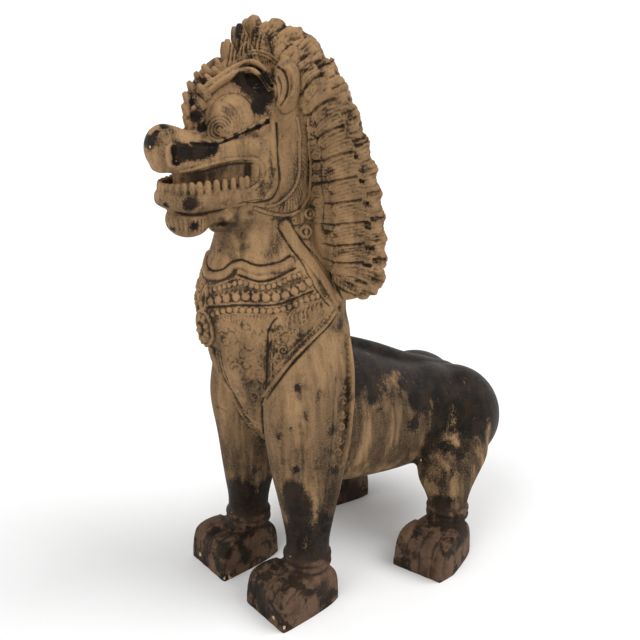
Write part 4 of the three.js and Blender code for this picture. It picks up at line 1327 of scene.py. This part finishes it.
class Nodes:
    """A material's node tree, built by short calls."""

    def __init__(self, name):
        self.material = bpy.data.materials.new(name)
        self.material.use_nodes = True
        self.tree = self.material.node_tree
        self.shader = self.tree.nodes["Principled BSDF"]

    def new(self, kind, inputs=None, **settings):
        node = self.tree.nodes.new(kind)
        for key, value in settings.items():
            setattr(node, key, value)
        for key, value in (inputs or {}).items():
            self.put(node.inputs[key], value)
        return node

    def put(self, socket, value):
        if isinstance(value, bpy.types.NodeSocket):
            self.tree.links.new(value, socket)
        else:
            socket.default_value = value

    def math(self, operation, *values):
        node = self.new("ShaderNodeMath", operation=operation)
        for socket, value in zip(node.inputs, values):
            self.put(socket, value)
        return node.outputs[0]

    def plus(self, first, second):
        return self.math("ADD", first, second)

    def minus(self, first, second):
        return self.math("SUBTRACT", first, second)

    def times(self, first, second):
        return self.math("MULTIPLY", first, second)

    def around(self, noise, gain):
        """How far a noise is from its middle, times gain."""
        return self.times(self.minus(noise, 0.5), gain)

    def mix(self, share, first, second):
        node = self.new("ShaderNodeMix", data_type="RGBA")
        self.put(node.inputs["Factor"], share)
        self.put(node.inputs["A"], first)
        self.put(node.inputs["B"], second)
        return node.outputs["Result"]

    def over(self, base, *layers):
        """The base colour with others laid over it, each given as share, strength and colour."""
        for share, strength, colour in layers:
            base = self.mix(self.times(share, strength), base, colour)
        return base

    def noise(self, scale, detail, rough=0.55, stretch=None):
        place = self.new("ShaderNodeTexCoord").outputs["Object"]
        if stretch:
            place = self.new("ShaderNodeMapping", {"Vector": place, "Scale": stretch}).outputs[0]
        return self.new("ShaderNodeTexNoise", {"Vector": place, "Scale": scale, "Detail": detail,
                                               "Roughness": rough}).outputs["Fac"]

    def step(self, value, low, high):
        node = self.new("ShaderNodeMapRange", {"Value": value, "From Min": low, "From Max": high},
                        interpolation_type="SMOOTHSTEP")
        return node.outputs[0]

    def value(self, name):
        return self.new("ShaderNodeAttribute", attribute_name=name).outputs["Fac"]


def tone(red, green, blue):
    """A colour given as screen values from 0 to 255, as the shader takes it."""
    def linear(value):
        value /= 255
        return value / 12.92 if value < 0.04045 else ((value + 0.055) / 1.055) ** 2.4
    return (linear(red), linear(green), linear(blue), 1.0)


TAN_LIGHT = tone(168, 134, 96)
TAN_PALE = tone(178, 146, 108)
TAN = tone(137, 108, 77)
TAN_DEEP = tone(84, 66, 48)
WASH_AND_SHADE_BROWN = tone(62, 49, 37)
RED_BROWN = tone(70, 53, 43)
RED_WORN = tone(98, 76, 60)
PAW_DARK = tone(32, 25, 20)
# Dark brown for dirt and painted shade in cuts and hollows
DIRT_AND_SHADE_BROWN = tone(44, 35, 27)
GLAZE_BLACK = tone(17, 13, 10)
GLAZE_BROWN = tone(44, 32, 22)
CLAY_BARE = tone(190, 165, 130)


def worn_glaze():
    """Tan slip, a brown wash with painted shade towards the ground and the rear, dirt and painted shade in
    its cuts and hollows, redder paws, and a dark glaze over it that has worn through.
    """
    n = Nodes("worn_glazed_earthenware")
    cloud = n.noise(7.0, 5.0)
    patch = n.noise(42.0, 8.0, 0.66)
    speck = n.noise(230.0, 4.0, 0.6)
    grain = n.noise(480.0, 5.0, 0.7)
    blotch = n.noise(30.0, 7.0, 0.64)
    drip = n.noise(46.0, 7.0, 0.62, stretch=(1.0, 1.0, 0.14))
    edge, hollow, low = n.value("edge"), n.value("hollow"), n.value("low")
    slip = n.over(
        n.mix(n.step(cloud, 0.38, 0.62), TAN, TAN_LIGHT),
        (n.step(drip, 0.46, 0.66), 0.70, TAN_DEEP),
        (n.step(patch, 0.50, 0.70), 0.60, TAN_DEEP),
        (edge, 0.55, TAN_LIGHT),
        # Brown wash in streaks, deepened towards the ground and at the rear as painted shade
        (n.step(drip, 0.26, 0.60), n.value("wash_and_shade"), WASH_AND_SHADE_BROWN),
        (n.step(grain, 0.52, 0.66), 0.32, TAN_DEEP),
        (n.step(grain, 0.48, 0.36), 0.26, TAN_PALE),
        (n.step(speck, 0.56, 0.72), 0.40, TAN_DEEP),
    )
    paw = n.over(
        n.mix(n.step(patch, 0.44, 0.58), RED_WORN, RED_BROWN),
        (edge, 0.60, RED_WORN),
        (n.step(grain, 0.50, 0.36), 0.50, RED_WORN),
    )
    paw = n.mix(n.step(blotch, 0.47, 0.56), paw, PAW_DARK)
    # Cuts and hollows darkened towards dark brown: dirt and painted shade in the recesses
    grime_and_shade = n.plus(n.times(n.value("dirt"), 0.85), n.times(hollow, 0.75))
    grime_and_shade = n.plus(grime_and_shade, n.around(patch, 1.8))
    slip = n.over(slip, (low, 0.95, paw), (n.step(grime_and_shade, 0.10, 1.00), 0.90, DIRT_AND_SHADE_BROWN))
    glaze = n.mix(n.step(patch, 0.42, 0.64), GLAZE_BLACK, GLAZE_BROWN)
    glaze = n.over(glaze, (low, 0.35, RED_BROWN))
    total = n.times(n.value("glaze"), 1.28)
    for part in (n.around(patch, 2.6), n.around(drip, 2.0), n.around(grain, 2.0), n.times(hollow, 0.20)):
        total = n.plus(total, part)
    total = n.minus(total, n.times(edge, 0.22))
    dark = n.step(total, 0.50, 0.80)
    cover = n.math("MAXIMUM", n.times(n.step(total, 0.10, 0.75), 0.75), dark)
    bare = n.step(n.plus(n.value("bare"), n.minus(speck, 0.5)), 0.45, 0.60)
    n.put(n.shader.inputs["Base Color"], n.mix(bare, n.mix(cover, slip, glaze), CLAY_BARE))
    matt = n.plus(0.72, n.around(patch, 0.25))
    shine = n.plus(0.46, n.around(speck, 0.30))
    rough = n.new("ShaderNodeMix", {"Factor": cover, "A": matt, "B": shine}, data_type="FLOAT")
    n.put(n.shader.inputs["Roughness"], rough.outputs["Result"])
    n.shader.inputs["Specular IOR Level"].default_value = 0.11
    grit = n.minus(n.plus(n.times(grain, 0.5), n.times(patch, 0.9)), n.times(dark, 0.25))
    bump = n.new("ShaderNodeBump", {"Height": grit, "Strength": 0.70, "Distance": 0.0022})
    n.put(n.shader.inputs["Normal"], bump.outputs["Normal"])
    return n.material


def plain_floor():
    n = Nodes("pale_floor")
    n.shader.inputs["Base Color"].default_value = (0.92, 0.92, 0.92, 1.0)
    n.shader.inputs["Roughness"].default_value = 0.9
    n.shader.inputs["Specular IOR Level"].default_value = 0.0
    return n.material


# Finished pieces

def wash_and_shade_at(y, z):
    """How brown the slip is at a place given in shares: a light brown wash everywhere, with painted shade
    growing towards the ground, on the rear and most under the haunch.
    """
    behind = sky((y - 0.17) / 0.04) * (z < 0.57)
    # A light brown wash everywhere; the rest is painted shade low down, on the rear and under the haunch
    wash_and_shade = 0.16 + 0.42 * sky((0.50 - z) / 0.10) + 0.55 * sky((0.34 - z) / 0.16) * (y < 0.20)
    wash_and_shade += behind * (0.30 + 0.90 * sky((0.29 - z) / 0.05) * sky((y - 0.35) / 0.04))
    return np.clip(wash_and_shade, 0, 1)


def glazed(x, y, z):
    """How much glaze is left at a place given in shares: on the back, the haunches and the ankles."""
    back = sky((y - 0.17) / 0.04) * (z < 0.57) * sky((z - 0.310 + 0.05 * sky((y - 0.34) / 0.06)) / 0.06)
    back *= 0.55 + 0.45 * np.maximum(sky((y - 0.33) / 0.06), sky((z - 0.365) / 0.03))
    from_haunch = ((np.abs(x) - 0.08) / 0.10) ** 2 + ((y - 0.505) / 0.115) ** 2 + ((z - 0.265) / 0.080) ** 2
    from_ankle = ((z - 0.135) / 0.045) ** 2 + ((y - 0.075) / 0.070) ** 2
    rear = np.maximum(back, sky(1.5 - np.sqrt(from_haunch)))
    return np.maximum(rear, 0.85 * sky(1.5 - np.sqrt(from_ankle)))


def finished(piece, name, material):
    """Thins the mesh to its limit and stores what the material reads."""
    triangles = sum(len(p.vertices) - 2 for p in piece.data.polygons)
    if triangles > MOST_TRIANGLES:
        thin = piece.modifiers.new("thin", "DECIMATE")
        thin.ratio = MOST_TRIANGLES / triangles
        applied(piece)
    mesh = piece.data
    points = np.clip(vertex_array(mesh), CAD_LOW, CAD_HIGH)
    set_vertices(mesh, points)
    hollow, edge = shape_values(mesh)
    store(mesh, "hollow", hollow)
    store(mesh, "edge", edge)
    x, y, z = ((points - SHIFT) / HEIGHT).T
    store(mesh, "wash_and_shade", wash_and_shade_at(y, z))
    store(mesh, "low", sky((0.135 - z) / 0.045))
    glaze = mesh.attributes["glaze"].data
    marked = np.empty(len(points))
    glaze.foreach_get("value", marked)
    glaze.foreach_set("value", np.maximum(marked, glazed(x, y, z)).astype(np.float32))
    mesh.shade_smooth()
    mesh.materials.clear()
    mesh.materials.append(material)
    piece.name = name
    mesh.name = name
    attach(piece, "root")
    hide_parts("guardian_lion")


# Camera, light and floor

# Strengths of the two lights and of the even light from all round
FRONT_LIGHT = 0.90
OVER_LIGHT = 1.6
ROUND_LIGHT = 0.55
LIGHT_SPREAD = 40.0
FLOOR_STEPS = 96
FLOOR_RINGS = [3.0, 5.0, 8.0, 11.0, 14.0, 18.0, 22.0, 26.0, 32.0, 40.0]
FLOOR_RISE = 0.012
WHITE = (1.0, 1.0, 1.0, 1.0)


def place_camera():
    """The photograph's camera."""
    camera = bpy.data.objects.new("camera", bpy.data.cameras.new("camera"))
    bpy.context.scene.collection.objects.link(camera)
    turn = Matrix((RIGHT.tolist(), UP.tolist(), (-AHEAD).tolist())).transposed()
    camera.matrix_world = Matrix.Translation(Vector(CAMERA_PLACE)) @ turn.to_4x4()
    camera.data.sensor_width = SENSOR
    camera.data.lens = PHOTO_FOCUS / PHOTO_SIZE * SENSOR
    camera.data.clip_end = 50.0
    bpy.context.scene.camera = camera


def place_light(name, away, strength):
    """A broad soft light that shines from a direction, the same at every distance."""
    lamp = bpy.data.lights.new(name, "SUN")
    lamp.energy = strength
    lamp.angle = math.radians(LIGHT_SPREAD)
    piece = bpy.data.objects.new(name, lamp)
    bpy.context.scene.collection.objects.link(piece)
    piece.rotation_euler = (-Vector(away)).to_track_quat("-Z", "Y").to_euler()


def place_floor():
    """A round floor, flat under the lion and rising gently far out, so that no horizon shows."""
    steps = FLOOR_STEPS
    points = [(0.0, 0.0, 0.0)]
    faces = [(0, 1 + i, 1 + (i + 1) % steps) for i in range(steps)]
    for k, reach in enumerate(FLOOR_RINGS):
        height = FLOOR_RISE * (reach - FLOOR_RINGS[0]) ** 2
        points += [(reach * math.cos(a), reach * math.sin(a), height)
                   for a in np.linspace(0, 2 * math.pi, steps, endpoint=False)]
        if k:
            a, b = 1 + (k - 1) * steps, 1 + k * steps
            faces += [(a + i, b + i, b + (i + 1) % steps, a + (i + 1) % steps) for i in range(steps)]
    mesh = bpy.data.meshes.new("floor")
    mesh.from_pydata(points, [], faces)
    mesh.shade_smooth()
    mesh.materials.append(plain_floor())
    floor = bpy.data.objects.new("floor", mesh)
    bpy.context.scene.collection.objects.link(floor)


def place_world():
    world = bpy.data.worlds.new("world")
    bpy.context.scene.world = world
    world.use_nodes = True
    background = world.node_tree.nodes["Background"]
    background.inputs["Color"].default_value = WHITE
    background.inputs["Strength"].default_value = ROUND_LIGHT
    bpy.context.scene.view_settings.view_transform = "Standard"


def main():
    place_camera()
    place_floor()
    place_world()
    place_light("front", (0.1, -1.0, 1.2), FRONT_LIGHT)
    place_light("over", (0.80, 0.85, 1.5), OVER_LIGHT)
    material = worn_glaze()
    body = lion_body()
    head = lion_head()
    mane = lion_mane()
    carver = Carver(body, head, mane)
    for carve in (carve_face, carve_collar, carve_medallion, carve_panel, carve_legs, carve_paws, paint_glaze_wear_and_shade):
        carve(carver)
    comb_mane(carver.reliefs[mane])
    for relief in carver.reliefs.values():
        relief.press()
    finished(body, "lion_body", material)
    finished(head, "lion_head", material)
    finished(mane, "lion_mane", material)


main()
